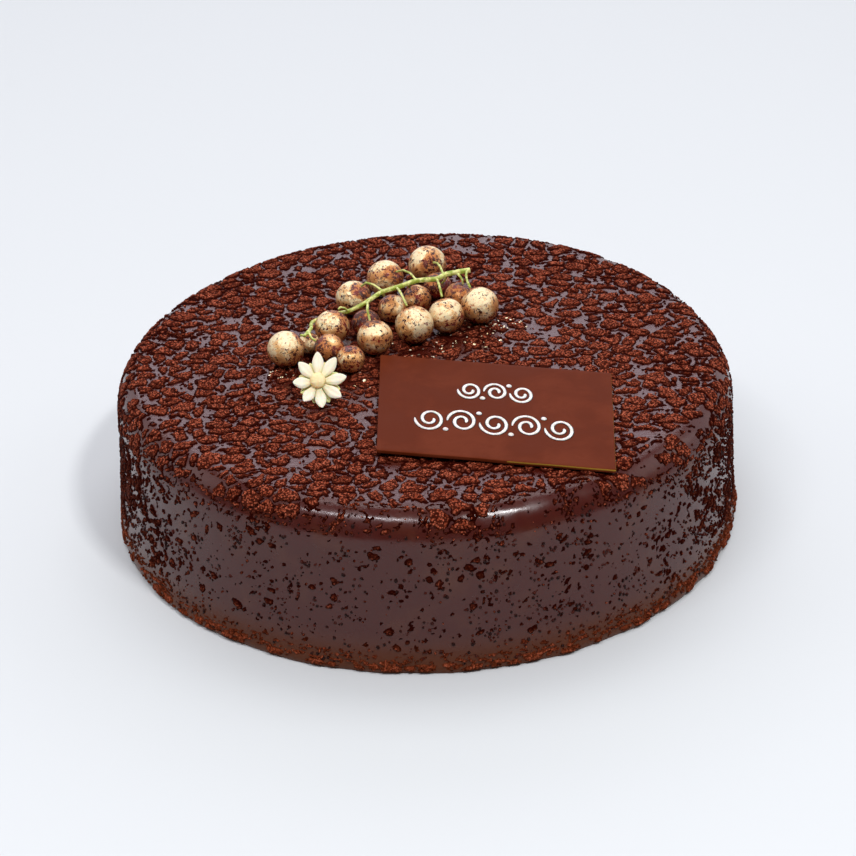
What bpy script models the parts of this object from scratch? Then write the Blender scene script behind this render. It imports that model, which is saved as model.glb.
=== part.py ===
"""A whole glazed chocolate torte, dressed with gilded currants on their stem, a sugar daisy and a plaque.

Metres, +Z up. The origin is the centre of the cake's foot, and the front of the cake looks along -Y.
"""

import math

import bmesh
import bpy
from mathutils import Matrix, Vector, noise

MM = 0.001
GAP = 0.3 * MM  # left between pieces that touch
SHARP_ANGLE = math.radians(40)

# The cake: a round slab under a poured glaze that rounds its rim and spreads a little at its foot
CAKE_RADIUS = 87.5 * MM
CAKE_HEIGHT = 47.6 * MM
DOME_DROP = 0.6 * MM  # how much lower the flat top lies where the rim begins
RIM_RADIUS = 8.0 * MM
RIM_STEPS = 4
FOOT_RADIUS = 90.0 * MM
FOOT_LIP = 1.2 * MM  # height at which the foot is widest
FOOT_TUCK = 0.5 * MM  # how far the resting face lies inside the foot's edge
FOOT_FLARE = 1.5  # how late the side spreads towards the foot
FOOT_WOBBLE = 0.7 * MM
WOBBLE_REACH = 7.0 * MM
WOBBLE_DETAIL = 9
BULGES = ((58, 45, 1.6 * MM), (140, 35, -0.8 * MM))  # out of round: angle, half its spread, height
TOP_RINGS = 23
SIDE_ROWS = 8

# Crumb patches sprayed over the glaze, as bumps of their size
PATCH_SIZE = 6.4 * MM
TOP_PATCH_HEIGHT = 0.9 * MM
SIDE_PATCH_HEIGHT = 0.6 * MM
TOP_COVER = 0.9  # share of the patches that are there
FRONT_COVER = 0.2
FLANK_COVER = 0.55
FOOT_COVER = 0.7
FOOT_BAND = 8.0 * MM
PATCH_LOW = 0.6  # height of the lowest patches over the highest
CHANNEL = 0.06  # width of a channel and of its slope, as shares of a patch
SLOPE = 0.3
PATCH_ORIGIN = Vector((3.1, 7.7, 1.3))  # where the pattern starts, in patches
CHANCE_SCALE = 7.3  # sets apart the chances of neighbouring patches
FLANK_SPAN = (0.5, 0.95)  # where front turns into flank: distance across over radius
BERRY_FOOT = 0.9  # share of a currant's radius kept free of crumbs under it

# The plaque: a thin slab cut a little out of square, its left end on the thicker crumbs
PLAQUE_WIDTH = 64.1 * MM
PLAQUE_DEPTH = 52.3 * MM
PLAQUE_THICKNESS = 1.0 * MM
PLAQUE_BEVEL = 0.15 * MM
PLAQUE_LEAN = 0.9 * MM  # how far the left edge's ends lie left at the back and right at the front
PLAQUE_CENTRE = Vector((18.95, -36.1)) * MM
PLAQUE_YAW = math.radians(-3.0)
PLAQUE_ROLL = math.radians(-1.2)  # right end down
PLAQUE_TILT = math.radians(0.6)  # back up
PLAQUE_SKEW = math.radians(7.5)
PLAQUE_LIFT = 48.5 * MM  # height of the middle of its underside

# Piped ornament on the plaque: two rows of spirals that turn over and under by turns, with pearls
# between them. A row has its count, the radius of its spirals and the place of its first and middle line
PIPING_RADIUS = 0.55 * MM
PIPING_SINK = 0.10 * MM  # depth of the line's middle under the plaque's face
PIPING_SIDES = 3
SPIRAL_TURNS = 1.55
SPIRAL_STEPS = 15
SPIRAL_CORE = 0.24  # inner radius over outer
SPIRAL_SPACE = 0.6 * MM  # between two spirals
SPIRAL_STRETCH = 1.5  # depth over width
ROWS = ((3, 3.3 * MM, -7.2 * MM, 9.8 * MM), (5, 4.1 * MM, -17.6 * MM, -7.6 * MM))
PEARL_RADIUS = 0.8 * MM
PEARL_OFF = 0.8  # distance of a pearl from its line over half the depth of the spirals

# Currants: place of the middle (right, back), radius, the way to the stem (right, back, up), and the
# point of the stem that carries it, counted along STEM_ROUTE. Those whose stalk is hidden have none
CURRANTS = (
    ((-39.0, -3.6), 5.3, (0.75, 0.25, 0.60), 14.0),
    ((-32.6, 3.2), 3.2, None, None),
    ((-26.8, -2.3), 4.3, (-0.80, -0.10, 0.60), 12.4),
    ((-20.6, -8.5), 4.0, None, None),
    ((-26.1, 9.2), 5.1, (0.35, 0.35, 0.87), 8.8),
    ((-13.8, 2.1), 5.1, (-0.24, 0.10, 0.96), 6.6),
    ((-16.4, 12.7), 4.2, None, None),
    ((-20.2, 27.4), 5.2, (0.44, -0.31, 0.84), 5.0),
    ((-8.8, 21.4), 4.3, (-0.50, 0.10, 0.86), 4.8),
    ((-2.5, 8.4), 5.55, (-0.35, 0.40, 0.85), 4.2),
    ((-10.9, 39.4), 5.5, (0.59, -0.54, 0.61), 3.0),
    ((-1.6, 27.6), 4.2, (-0.45, -0.10, 0.88), 3.4),
    ((6.8, 14.4), 5.2, (-0.20, 0.50, 0.84), 2.0),
    ((1.8, 47.8), 5.7, (0.29, -0.82, 0.49), 1.2),
    ((4.6, 35.6), 4.2, (0.30, -0.75, 0.59), 0.9),
    ((10.7, 28.2), 4.3, (0.27, -0.20, 0.94), 0.6),
    ((16.6, 19.7), 5.5, (-0.45, 0.46, 0.76), 0.2),
)
CURRANT_SIDES = 12
CURRANT_RINGS = 8
CURRANT_SQUASH = 0.97  # height over width
CURRANT_TURN = math.radians(37)  # from each currant to the next

# The stem: it runs over the currants from its cut end at the right, dips behind the fifth currant
# and ends at the first
STEM_ROUTE = (
    (14.2, 30.0, 59.6),
    (7.1, 29.8, 58.6),
    (4.4, 26.8, 58.6),
    (-1.5, 25.9, 58.7),
    (-6.4, 22.2, 58.8),
    (-11.3, 19.2, 58.8),
    (-13.5, 17.2, 58.5),
    (-16.1, 14.6, 57.9),
    (-18.9, 13.4, 56.9),
    (-22.0, 13.3, 55.5),
    (-26.4, 15.4, 53.8),
    (-31.9, 12.1, 53.2),
    (-31.9, 5.8, 54.6),
    (-32.9, 0.9, 55.6),
    (-33.8, -1.2, 55.6),
)
STEM_STEPS = 2  # sections between two points of the route
STEM_RADII = (0.85 * MM, 0.5 * MM)  # at the cut end and at the far end
STEM_SIDES = 6
STALK_RADIUS = 0.38 * MM
STALK_SIDES = 5
STALK_STEPS = 3
STALK_LEAD = 0.45  # share of its length over which a stalk runs straight out of its currant

# The daisy: it leans back with its lower petals on the cake. Each petal has its angle and its reach
DAISY_CENTRE = Vector((-29.4, -23.4, 52.9)) * MM
DAISY_LEAN = math.radians(38)  # its face over the level
PETALS = ((6, 7.9), (51, 8.0), (90, 8.0), (135, 7.4), (183, 6.9), (235, 6.9), (278, 7.6), (323, 7.9))
PETAL_REACH = 8.0 * MM
PETAL_WIDTH = 3.6 * MM
PETAL_OUTLINE = ((0, 0.5), (0.35, 0.86), (0.7, 1.0), (0.92, 0.74), (1, 0.3))  # width over its length
PETAL_ACROSS = 4
PETAL_THICKNESS = 0.8 * MM
PETAL_CUP = 0.9 * MM  # how far the tips stand forward
PETAL_GROOVE = 0.25 * MM
PETAL_TIP = 0.1  # how much shorter a petal is at its sides
PETAL_EDGE = 0.45  # how much thinner it is there
PETAL_START = 0.5  # where it starts inside the hub, over the hub's radius
LEAF_OUTLINE = ((0, 0.6), (0.55, 1.0), (1, 0.3))
LEAF_ACROSS = 2
LEAF_WIDTH = 0.8 * PETAL_WIDTH
LEAF_TURN = 22
DAISY_STRETCH = 1.08  # length up and down over width
HUB_RADIUS = 2.3 * MM
HUB_THICKNESS = 1.0 * MM
HUB_SIDES = 16
HUB_TAPER = 0.9
BACK_REACH = 6.2 * MM
BACK_DROP = 1.6 * MM  # from the front petals to the ring of leaves behind them
BACK_RIM = 0.4 * MM  # how far the back hub reaches under its leaves
DOME_RADIUS = 2.1 * MM
DOME_HEIGHT = 1.5 * MM
DOME_SIDES = 14
DOME_RINGS = 8


def clear_scene():
    """Remove every object of the scene."""
    for thing in list(bpy.data.objects):
        bpy.data.objects.remove(thing)


def make_material(name, colour, roughness, metallic=0.0):
    """A plain finish of one colour."""
    material = bpy.data.materials.new(name)
    material.use_nodes = True
    shader = material.node_tree.nodes["Principled BSDF"]
    shader.inputs["Base Color"].default_value = (*colour, 1.0)
    shader.inputs["Roughness"].default_value = roughness
    shader.inputs["Metallic"].default_value = metallic
    return material


def make_object(name, bm, material=None):
    """Turn a bmesh into an object of the scene, smooth but for its sharp edges."""
    bmesh.ops.recalc_face_normals(bm, faces=bm.faces)
    mesh = bpy.data.meshes.new(name)
    bm.to_mesh(mesh)
    bm.free()
    thing = bpy.data.objects.new(name, mesh)
    bpy.context.scene.collection.objects.link(thing)
    if material:
        mesh.materials.append(material)
    mesh.shade_smooth()
    mesh.set_sharp_from_angle(angle=SHARP_ANGLE)
    return thing


def fuse(body, pieces, solver="EXACT"):
    """Join the pieces to the body by one union, and remove them."""
    group = bpy.data.collections.new(body.name + "_pieces")
    bpy.context.scene.collection.children.link(group)
    for piece in pieces:
        group.objects.link(piece)
    union = body.modifiers.new("Union", "BOOLEAN")
    union.operation = "UNION"
    union.operand_type = "COLLECTION"
    union.collection = group
    union.solver = solver
    depsgraph = bpy.context.evaluated_depsgraph_get()
    joined = bpy.data.meshes.new_from_object(body.evaluated_get(depsgraph))
    body.modifiers.clear()
    body.data = joined
    for piece in pieces:
        bpy.data.objects.remove(piece)
    bpy.data.collections.remove(group)
    joined.shade_smooth()
    joined.set_sharp_from_angle(angle=SHARP_ANGLE)


def smoothstep(low, high, value):
    """0 below low, 1 above high, and an even S between them."""
    share = min(max((value - low) / (high - low), 0.0), 1.0)
    return share * share * (3 - 2 * share)


def flat_radius():
    """Where the flat top ends and the rim begins."""
    return CAKE_RADIUS - RIM_RADIUS


def out_of_round(place):
    """How far the cake's outline stands out of its circle at the angle of a place."""
    angle = math.degrees(math.atan2(place.y, place.x))
    total = 0.0
    for middle, spread, height in BULGES:
        off = abs((angle - middle + 180) % 360 - 180)
        total += height * smoothstep(spread, 0, off)
    return total


def top_height(across, back):
    """Height of the bare glaze at a place of the flat top."""
    share = math.hypot(across, back) / flat_radius()
    return CAKE_HEIGHT - DOME_DROP * min(share, 1.0) ** 2


def plaque_frame():
    """Carries the plaque's own width, depth and height to its place on the cake."""
    yaw = Matrix.Rotation(PLAQUE_YAW, 3, "Z")
    width = yaw @ Vector((math.cos(PLAQUE_ROLL), 0, math.sin(PLAQUE_ROLL)))
    depth = yaw @ Vector((0, math.cos(PLAQUE_TILT), math.sin(PLAQUE_TILT)))
    height = width.cross(depth).normalized()
    width -= depth * math.tan(PLAQUE_SKEW)
    axes = Matrix((width, depth, height)).transposed().to_4x4()
    return Matrix.Translation((*PLAQUE_CENTRE, PLAQUE_LIFT)) @ axes


def daisy_frame():
    """Carries the daisy's own plane, with its face along +Z, to its place on the cake."""
    lean = Matrix.Rotation(DAISY_LEAN, 4, "X")
    stretch = Matrix.Diagonal((1, DAISY_STRETCH, 1, 1))
    return Matrix.Translation(DAISY_CENTRE) @ lean @ stretch


def kept_clear(place):
    """Whether a topping stands on this place of the top, so that no crumb may rise there."""
    for (across, back), radius, _, _ in CURRANTS:
        if math.hypot(place.x - across * MM, place.y - back * MM) < BERRY_FOOT * radius * MM:
            return True
    if math.hypot(place.x - DAISY_CENTRE.x, place.y - DAISY_CENTRE.y) < PETAL_REACH + PATCH_SIZE / 2:
        return True
    own = plaque_frame().inverted() @ place
    margin = PATCH_SIZE / 2
    return abs(own.x) < PLAQUE_WIDTH / 2 + margin and abs(own.y) < PLAQUE_DEPTH / 2 + margin


def on_top(place):
    """0 on the side, 1 on the flat top, and between them on the rim."""
    return smoothstep(CAKE_HEIGHT - RIM_RADIUS, CAKE_HEIGHT - RIM_RADIUS / 3, place.z)


def patch_cover(place):
    """Share of the crumb patches that are there: dense on top, sparse on the front of the side."""
    flank = abs(place.x) / max(math.hypot(place.x, place.y), MM)
    side = FRONT_COVER + (FLANK_COVER - FRONT_COVER) * smoothstep(*FLANK_SPAN, flank)
    if place.y > 0:
        side = FLANK_COVER
    low = smoothstep(FOOT_BAND, FOOT_BAND / 2, place.z)
    side += (FOOT_COVER - side) * low
    return side + (TOP_COVER - side) * on_top(place)


def patch_relief(place):
    """How far the crumb patches lift the surface at a place."""
    if place.z > CAKE_HEIGHT - RIM_RADIUS and kept_clear(place):
        return 0.0
    distances, points = noise.voronoi(place / PATCH_SIZE + PATCH_ORIGIN)
    chance = noise.cell(points[0] * CHANCE_SCALE)
    if chance > patch_cover(place):
        return 0.0
    plateau = smoothstep(CHANNEL, CHANNEL + SLOPE, distances[1] - distances[0])
    height = SIDE_PATCH_HEIGHT + (TOP_PATCH_HEIGHT - SIDE_PATCH_HEIGHT) * on_top(place)
    return height * plateau * (PATCH_LOW + (1 - PATCH_LOW) * chance / TOP_COVER)


def top_lattice(bm):
    """An even lattice of triangles on a disc: a hexagon whose rings are rounded into circles."""
    turn = Matrix.Rotation(math.radians(30), 4, "Z")
    bmesh.ops.create_circle(bm, cap_ends=True, cap_tris=True, segments=6, radius=flat_radius(), matrix=turn)
    bmesh.ops.subdivide_edges(bm, edges=bm.edges, cuts=TOP_RINGS - 1, use_grid_fill=True)
    sixth = math.pi / 3
    for vertex in bm.verts:
        angle = math.atan2(vertex.co.y, vertex.co.x) % (2 * math.pi)
        side, within = divmod(angle, sixth)
        off = within - sixth / 2
        ring = math.hypot(vertex.co.x, vertex.co.y) * math.cos(off) / math.cos(sixth / 2)
        angle = (side + 0.5 + math.tan(off) / (2 * math.tan(sixth / 2))) * sixth
        place = Vector((ring * math.cos(angle), ring * math.sin(angle), 0))
        place *= 1 + out_of_round(place) / CAKE_RADIUS
        place.z = top_height(place.x, place.y)
        vertex.co = place


def side_profile():
    """Radius and height of each row from the rim down to the resting face."""
    rim_top = CAKE_HEIGHT - DOME_DROP
    rows = []
    for step in range(1, RIM_STEPS + 1):
        angle = math.pi / 2 * step / RIM_STEPS
        radius = flat_radius() + RIM_RADIUS * math.sin(angle)
        rows.append((radius, rim_top - RIM_RADIUS * (1 - math.cos(angle))))
    start = rim_top - RIM_RADIUS
    for step in range(1, SIDE_ROWS + 1):
        share = step / SIDE_ROWS
        radius = CAKE_RADIUS + (FOOT_RADIUS - CAKE_RADIUS) * share**FOOT_FLARE
        rows.append((radius, start + (FOOT_LIP - start) * share))
    rows.append((FOOT_RADIUS - FOOT_TUCK, 0.0))
    return rows


def build_cake(material):
    """The glazed cake with its crumb patches as bumps, one solid."""
    bm = bmesh.new()
    top_lattice(bm)
    edge = [e for e in bm.edges if e.is_boundary]
    for radius, height in side_profile():
        grown = bmesh.ops.extrude_edge_only(bm, edges=edge)["geom"]
        edge = [e for e in grown if isinstance(e, bmesh.types.BMEdge)]
        for vertex in {v for e in edge for v in e.verts}:
            outward = Vector((vertex.co.x, vertex.co.y, 0)).normalized()
            low = smoothstep(WOBBLE_REACH, 0.0, height)
            wobble = FOOT_WOBBLE * low * noise.noise(outward * WOBBLE_DETAIL) + out_of_round(outward)
            vertex.co = outward * (radius + wobble) + Vector((0, 0, height))
    bmesh.ops.contextual_create(bm, geom=edge)
    bmesh.ops.recalc_face_normals(bm, faces=bm.faces)
    bm.normal_update()
    lifted = [(v, v.normal * patch_relief(v.co)) for v in bm.verts if v.co.z > FOOT_LIP]
    for vertex, move in lifted:
        vertex.co += move
    return make_object("cake", bm, material)


def spiral_points(centre, radius, mirror):
    """Points of one piped spiral that starts at its left and winds inward, over or under first."""
    points = []
    for step in range(SPIRAL_STEPS + 1):
        share = step / SPIRAL_STEPS
        reach = radius * (1 - (1 - SPIRAL_CORE) * share)
        angle = math.pi * (1 - 2 * SPIRAL_TURNS * share)
        across = reach * math.cos(angle)
        back = mirror * SPIRAL_STRETCH * reach * math.sin(angle)
        points.append(centre + Vector((across, back, 0)))
    return points


def tube(name, points, radii, sides):
    """A closed round tube along the points, with a radius at each."""
    bm = bmesh.new()
    rings = []
    side = Vector((0, 0, 1))
    for index, point in enumerate(points):
        ahead = points[min(index + 1, len(points) - 1)] - points[max(index - 1, 0)]
        ahead.normalize()
        side = (side - ahead * side.dot(ahead)).normalized()
        other = ahead.cross(side)
        ring = []
        for corner in range(sides):
            angle = 2 * math.pi * corner / sides
            reach = side * math.cos(angle) + other * math.sin(angle)
            ring.append(bm.verts.new(point + reach * radii[index]))
        rings.append(ring)
    for first, second in zip(rings, rings[1:]):
        for corner in range(sides):
            after = (corner + 1) % sides
            bm.faces.new((first[corner], first[after], second[after], second[corner]))
    bm.faces.new(reversed(rings[0]))
    bm.faces.new(rings[-1])
    return make_object(name, bm)


def build_piping():
    """The ornament's lines and pearls, still apart, on the plaque's own face."""
    pieces = []
    face = PLAQUE_THICKNESS - PIPING_SINK
    for count, radius, first, line in ROWS:
        pitch = 2 * radius + SPIRAL_SPACE
        for number in range(count):
            mirror = 1 if number % 2 else -1
            centre = Vector((first + pitch * number, line, face))
            points = spiral_points(centre, radius, mirror)
            pieces.append(tube("spiral", points, [PIPING_RADIUS] * len(points), PIPING_SIDES))
            if number:
                bm = bmesh.new()
                place = centre + Vector((-pitch / 2, -mirror * radius * SPIRAL_STRETCH * PEARL_OFF, 0))
                bmesh.ops.create_icosphere(
                    bm, subdivisions=1, radius=PEARL_RADIUS, matrix=Matrix.Translation(place)
                )
                pieces.append(make_object("pearl", bm))
    return pieces


def build_plaque(material):
    """The plaque with its piped ornament, one solid."""
    bm = bmesh.new()
    size = Matrix.Diagonal((PLAQUE_WIDTH, PLAQUE_DEPTH, PLAQUE_THICKNESS, 1))
    lift = Matrix.Translation((0, 0, PLAQUE_THICKNESS / 2))
    bmesh.ops.create_cube(bm, size=1, matrix=lift @ size)
    for vertex in bm.verts:
        if vertex.co.x < 0:
            vertex.co.x -= PLAQUE_LEAN * vertex.co.y / (PLAQUE_DEPTH / 2)
    bmesh.ops.bevel(
        bm, geom=bm.edges, offset=PLAQUE_BEVEL, segments=1, affect="EDGES", profile=0.5, material=-1
    )
    plaque = make_object("plaque", bm, material)
    fuse(plaque, build_piping())
    plaque.data.transform(plaque_frame())
    return plaque


def currant_centre(number):
    """Middle of a currant that rests on the glaze."""
    (across, back), radius, _, _ = CURRANTS[number]
    place = Vector((across, back, 0)) * MM
    place.z = top_height(place.x, place.y) + GAP + radius * MM * CURRANT_SQUASH
    return place


def build_currant(number, material):
    """One currant: a round berry, a little flatter than wide."""
    bm = bmesh.new()
    radius = CURRANTS[number][1] * MM
    bmesh.ops.create_uvsphere(bm, u_segments=CURRANT_SIDES, v_segments=CURRANT_RINGS, radius=radius)
    bmesh.ops.scale(bm, verts=bm.verts, vec=(1, 1, CURRANT_SQUASH))
    turn = Matrix.Rotation(CURRANT_TURN * number, 3, "Z")
    bmesh.ops.rotate(bm, verts=bm.verts, cent=(0, 0, 0), matrix=turn)
    currant = make_object(f"currant_{number + 1:02d}", bm, material)
    currant.location = currant_centre(number)
    return currant


def stem_place(along):
    """Place on the stem's smooth curve, where along counts the points of its route."""
    index = min(int(along), len(STEM_ROUTE) - 2)
    share = along - index
    before, start, end, after = (
        Vector(STEM_ROUTE[min(max(index + step, 0), len(STEM_ROUTE) - 1)]) * MM for step in (-1, 0, 1, 2)
    )
    bend = (start - end) * 3 + after - before
    curve = before * 2 - start * 5 + end * 4 - after
    return start + ((end - before) * share + curve * share**2 + bend * share**3) / 2


def build_stem(material):
    """The stem with a stalk to each currant, one solid."""
    sections = (len(STEM_ROUTE) - 1) * STEM_STEPS
    points = [stem_place(step / STEM_STEPS) for step in range(sections + 1)]
    thick, thin = STEM_RADII
    radii = [thick + (thin - thick) * step / sections for step in range(sections + 1)]
    stem = tube("stem", points, radii, STEM_SIDES)
    stem.data.materials.append(material)
    stalks = []
    for number, (_, radius, way, along) in enumerate(CURRANTS):
        if way is None:
            continue
        way = Vector(way).normalized()
        tip = currant_centre(number) + way * (radius * MM + GAP)
        root = stem_place(along)
        lead = tip + way * (root - tip).length * STALK_LEAD
        path = []
        for step in range(STALK_STEPS + 1):
            share = step / STALK_STEPS
            path.append(root * (1 - share) ** 2 + lead * 2 * share * (1 - share) + tip * share**2)
        stalks.append(tube("stalk", path, [STALK_RADIUS] * len(path), STALK_SIDES))
    fuse(stem, stalks)
    return stem


def petal(reach, width, degrees, outline, across, cup):
    """One closed petal in the daisy's plane, from inside the hub to its reach, both faces split alike."""
    bm = bmesh.new()
    start = HUB_RADIUS * PETAL_START
    layers = []
    for face in (1, -1):
        rows = []
        for share, breadth in outline:
            row = []
            for step in range(across + 1):
                part = 2 * step / across - 1
                x = start + (reach - start) * share * (1 - PETAL_TIP * part**2)
                y = width / 2 * breadth * part
                z = cup * share**2 - PETAL_GROOVE * (1 - abs(part)) * math.sin(math.pi * share)
                z += face * PETAL_THICKNESS / 2 * (1 - PETAL_EDGE * part**2)
                row.append(bm.verts.new((x, y, z)))
            rows.append(row)
        layers.append(rows)
    top, bottom = layers
    for first in range(len(outline) - 1):
        for place in range(across):
            for rows in layers:
                a, b = rows[first][place], rows[first][place + 1]
                c, d = rows[first + 1][place + 1], rows[first + 1][place]
                bm.faces.new((a, b, c))
                bm.faces.new((a, c, d))
        for place in (0, across):
            upper, lower = top[first][place], bottom[first][place]
            bm.faces.new((upper, top[first + 1][place], bottom[first + 1][place], lower))
    for row in (0, -1):
        for place in range(across):
            bm.faces.new((top[row][place], top[row][place + 1], bottom[row][place + 1], bottom[row][place]))
    turn = Matrix.Rotation(math.radians(degrees), 3, "Z")
    bmesh.ops.rotate(bm, verts=bm.verts, cent=(0, 0, 0), matrix=turn)
    return make_object("petal", bm)


def hub(name, low, high, material):
    """A short round disc, a little narrower at its top, that carries a ring of petals."""
    bm = bmesh.new()
    middle = Matrix.Translation((0, 0, (low + high) / 2))
    bmesh.ops.create_cone(
        bm,
        cap_ends=True,
        segments=HUB_SIDES,
        radius1=HUB_RADIUS,
        radius2=HUB_RADIUS * HUB_TAPER,
        depth=high - low,
        matrix=middle,
    )
    return make_object(name, bm, material)


def build_daisy(petal_material, back_material, dome_material):
    """The daisy: a ring of petals, a ring of leaves behind it, and its domed middle."""
    frame = daisy_frame()
    petals = hub("daisy_petals", -HUB_THICKNESS / 2, HUB_THICKNESS / 2, petal_material)
    ring = []
    for angle, reach in PETALS:
        ring.append(petal(reach * MM, PETAL_WIDTH, angle, PETAL_OUTLINE, PETAL_ACROSS, PETAL_CUP))
    fuse(petals, ring, solver="MANIFOLD")
    back_low = -BACK_DROP - HUB_THICKNESS / 2 - BACK_RIM
    back = hub("daisy_back", back_low, -HUB_THICKNESS / 2 - GAP, back_material)
    leaves = []
    for angle, reach in PETALS:
        length = BACK_REACH * reach * MM / PETAL_REACH
        leaf = petal(length, LEAF_WIDTH, angle + LEAF_TURN, LEAF_OUTLINE, LEAF_ACROSS, 0)
        leaf.data.transform(Matrix.Translation((0, 0, -BACK_DROP)))
        leaves.append(leaf)
    fuse(back, leaves)
    bm = bmesh.new()
    bmesh.ops.create_uvsphere(bm, u_segments=DOME_SIDES, v_segments=DOME_RINGS, radius=DOME_RADIUS)
    lower = [v for v in bm.verts if v.co.z < -MM / 100]
    bmesh.ops.delete(bm, geom=lower, context="VERTS")
    rim = [e for e in bm.edges if e.is_boundary]
    bmesh.ops.contextual_create(bm, geom=rim)
    bmesh.ops.scale(bm, verts=bm.verts, vec=(1, 1, DOME_HEIGHT / DOME_RADIUS))
    bmesh.ops.translate(bm, verts=bm.verts, vec=(0, 0, HUB_THICKNESS / 2 + GAP))
    dome = make_object("daisy_centre", bm, dome_material)
    for piece in (petals, back, dome):
        piece.data.transform(frame)
    return petals, back, dome


clear_scene()
build_cake(make_material("glazed chocolate with crumbs", (0.075, 0.018, 0.012), 0.45))
build_plaque(make_material("milk chocolate", (0.15, 0.035, 0.016), 0.5))
gilded = make_material("gilded currant", (0.75, 0.52, 0.26), 0.4, 0.5)
for berry in range(len(CURRANTS)):
    build_currant(berry, gilded)
build_stem(make_material("green stem", (0.32, 0.38, 0.08), 0.5))
build_daisy(
    make_material("ivory sugar", (0.83, 0.80, 0.65), 0.5),
    make_material("pale green sugar", (0.62, 0.62, 0.22), 0.5),
    make_material("yellow sugar", (0.86, 0.66, 0.32), 0.6),
)
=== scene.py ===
"""Looks of a glazed chocolate torte with gilded currants, a sugar daisy and a piped plaque.

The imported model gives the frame: metres, +Z up, the cake's foot on Z = 0 and its front towards -Y.
Every piece here rides on the one body "root". Lengths in the classes are metres, angles degrees.
"""

import logging
import math
import random
from dataclasses import dataclass, field
from enum import Enum
from typing import Callable, Iterable, Optional

import bmesh
import bpy
from mathutils import Matrix, Vector, noise


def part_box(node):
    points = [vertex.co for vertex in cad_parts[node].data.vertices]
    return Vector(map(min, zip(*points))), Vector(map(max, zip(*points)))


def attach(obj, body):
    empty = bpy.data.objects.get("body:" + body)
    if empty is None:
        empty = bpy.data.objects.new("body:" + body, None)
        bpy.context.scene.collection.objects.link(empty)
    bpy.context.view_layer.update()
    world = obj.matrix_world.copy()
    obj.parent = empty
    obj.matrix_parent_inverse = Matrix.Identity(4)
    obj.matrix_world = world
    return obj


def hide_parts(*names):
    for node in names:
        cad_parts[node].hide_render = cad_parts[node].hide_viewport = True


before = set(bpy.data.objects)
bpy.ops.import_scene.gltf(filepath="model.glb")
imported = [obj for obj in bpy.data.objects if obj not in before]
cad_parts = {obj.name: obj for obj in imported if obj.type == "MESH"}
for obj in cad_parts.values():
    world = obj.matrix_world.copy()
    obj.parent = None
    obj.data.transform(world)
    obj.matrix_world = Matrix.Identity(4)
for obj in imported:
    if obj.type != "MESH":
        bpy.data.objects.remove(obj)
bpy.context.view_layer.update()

LOG = logging.getLogger("torte")
MM = 0.001
BODY = "root"
NOISE_SEED = 5  # the vector noise of the crumbs starts here, so each run gives the same ones
LOOK_AT = (0, 0, 0.04)  # the place that every lamp is turned to

DRAW_SCALE = 13.7  # sets apart the draws of neighbouring crumbs
DRAW_SHIFT = Vector((5.1, 9.3, 2.7))

Colour = tuple[float, float, float]
Socket = bpy.types.NodeSocket
Material = bpy.types.Material
Piece = bpy.types.Object
Shape = bmesh.types.BMesh
Point = bmesh.types.BMVert
Edge = bmesh.types.BMEdge


def smoothstep(low: float, high: float, value: float) -> float:
    """An even S from 0 at low to 1 at high.

    Args:
        low: Value at which the S starts.
        high: Value at which it ends, which may lie below low.
        value: The value to place.

    Returns:
        A share from 0 to 1.
    """
    share = min(max((value - low) / (high - low), 0.0), 1.0)
    return share * share * (3 - 2 * share)


def chance(place: Vector) -> float:
    """A fixed draw from 0 to 1 for a place, such as the seed point of a crumb.

    Args:
        place: The place, in any unit.

    Returns:
        The draw.
    """
    return (noise.cell(place * DRAW_SCALE + DRAW_SHIFT) + 1) / 2


class Reckoning(Enum):
    """Arithmetic that a material does with two values, by the node's name for it."""

    SUM = "ADD"
    PRODUCT = "MULTIPLY"
    GREATER = "MAXIMUM"


class Nodes:
    """Adds and links the nodes of one shader tree."""

    def __init__(self, tree: bpy.types.NodeTree) -> None:
        """Take up the tree."""
        self.tree = tree

    def add(self, kind: str, **settings: object) -> bpy.types.Node:
        """Add a node.

        Args:
            kind: Type name of the node.
            **settings: Its own settings.

        Returns:
            The node.
        """
        node = self.tree.nodes.new(kind)
        for key, value in settings.items():
            setattr(node, key, value)
        return node

    def feed(self, node: bpy.types.Node, key: object, value: object) -> None:
        """Link a socket into a node's input, or set the input to a constant.

        Args:
            node: The node that takes it.
            key: Name or number of its input.
            value: A socket, a number or a colour.
        """
        if isinstance(value, Socket):
            self.tree.links.new(value, node.inputs[key])
        else:
            node.inputs[key].default_value = value

    def part(self, place: Socket, name: str) -> Socket:
        """One coordinate of a place.

        Args:
            place: The place.
            name: X, Y or Z.

        Returns:
            The coordinate.
        """
        node = self.add("ShaderNodeSeparateXYZ")
        self.feed(node, 0, place)
        return node.outputs[name]

    def span(self, value: object, low: float, high: float, start: float = 0.0, end: float = 1.0) -> Socket:
        """Map a value from one span to another by a smooth S, clamped.

        Args:
            value: Socket that is mapped.
            low: Value that gives start.
            high: Value that gives end.
            start: Result at low.
            end: Result at high.

        Returns:
            The mapped value.
        """
        node = self.add("ShaderNodeMapRange", interpolation_type="SMOOTHSTEP")
        self.feed(node, "Value", value)
        for key, number in zip(("From Min", "From Max", "To Min", "To Max"), (low, high, start, end)):
            self.feed(node, key, number)
        return node.outputs["Result"]

    def blend(self, share: object, first: object, second: object) -> Socket:
        """Mix two colours.

        Args:
            share: Socket or number, 0 for the first and 1 for the second.
            first: Colour or socket.
            second: Colour or socket.

        Returns:
            The mixed colour.
        """
        node = self.add("ShaderNodeMix", data_type="RGBA")
        self.feed(node, 0, share)
        for key, value in ((6, first), (7, second)):
            self.feed(node, key, value if isinstance(value, Socket) else (*value, 1.0))
        return node.outputs[2]


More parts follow.
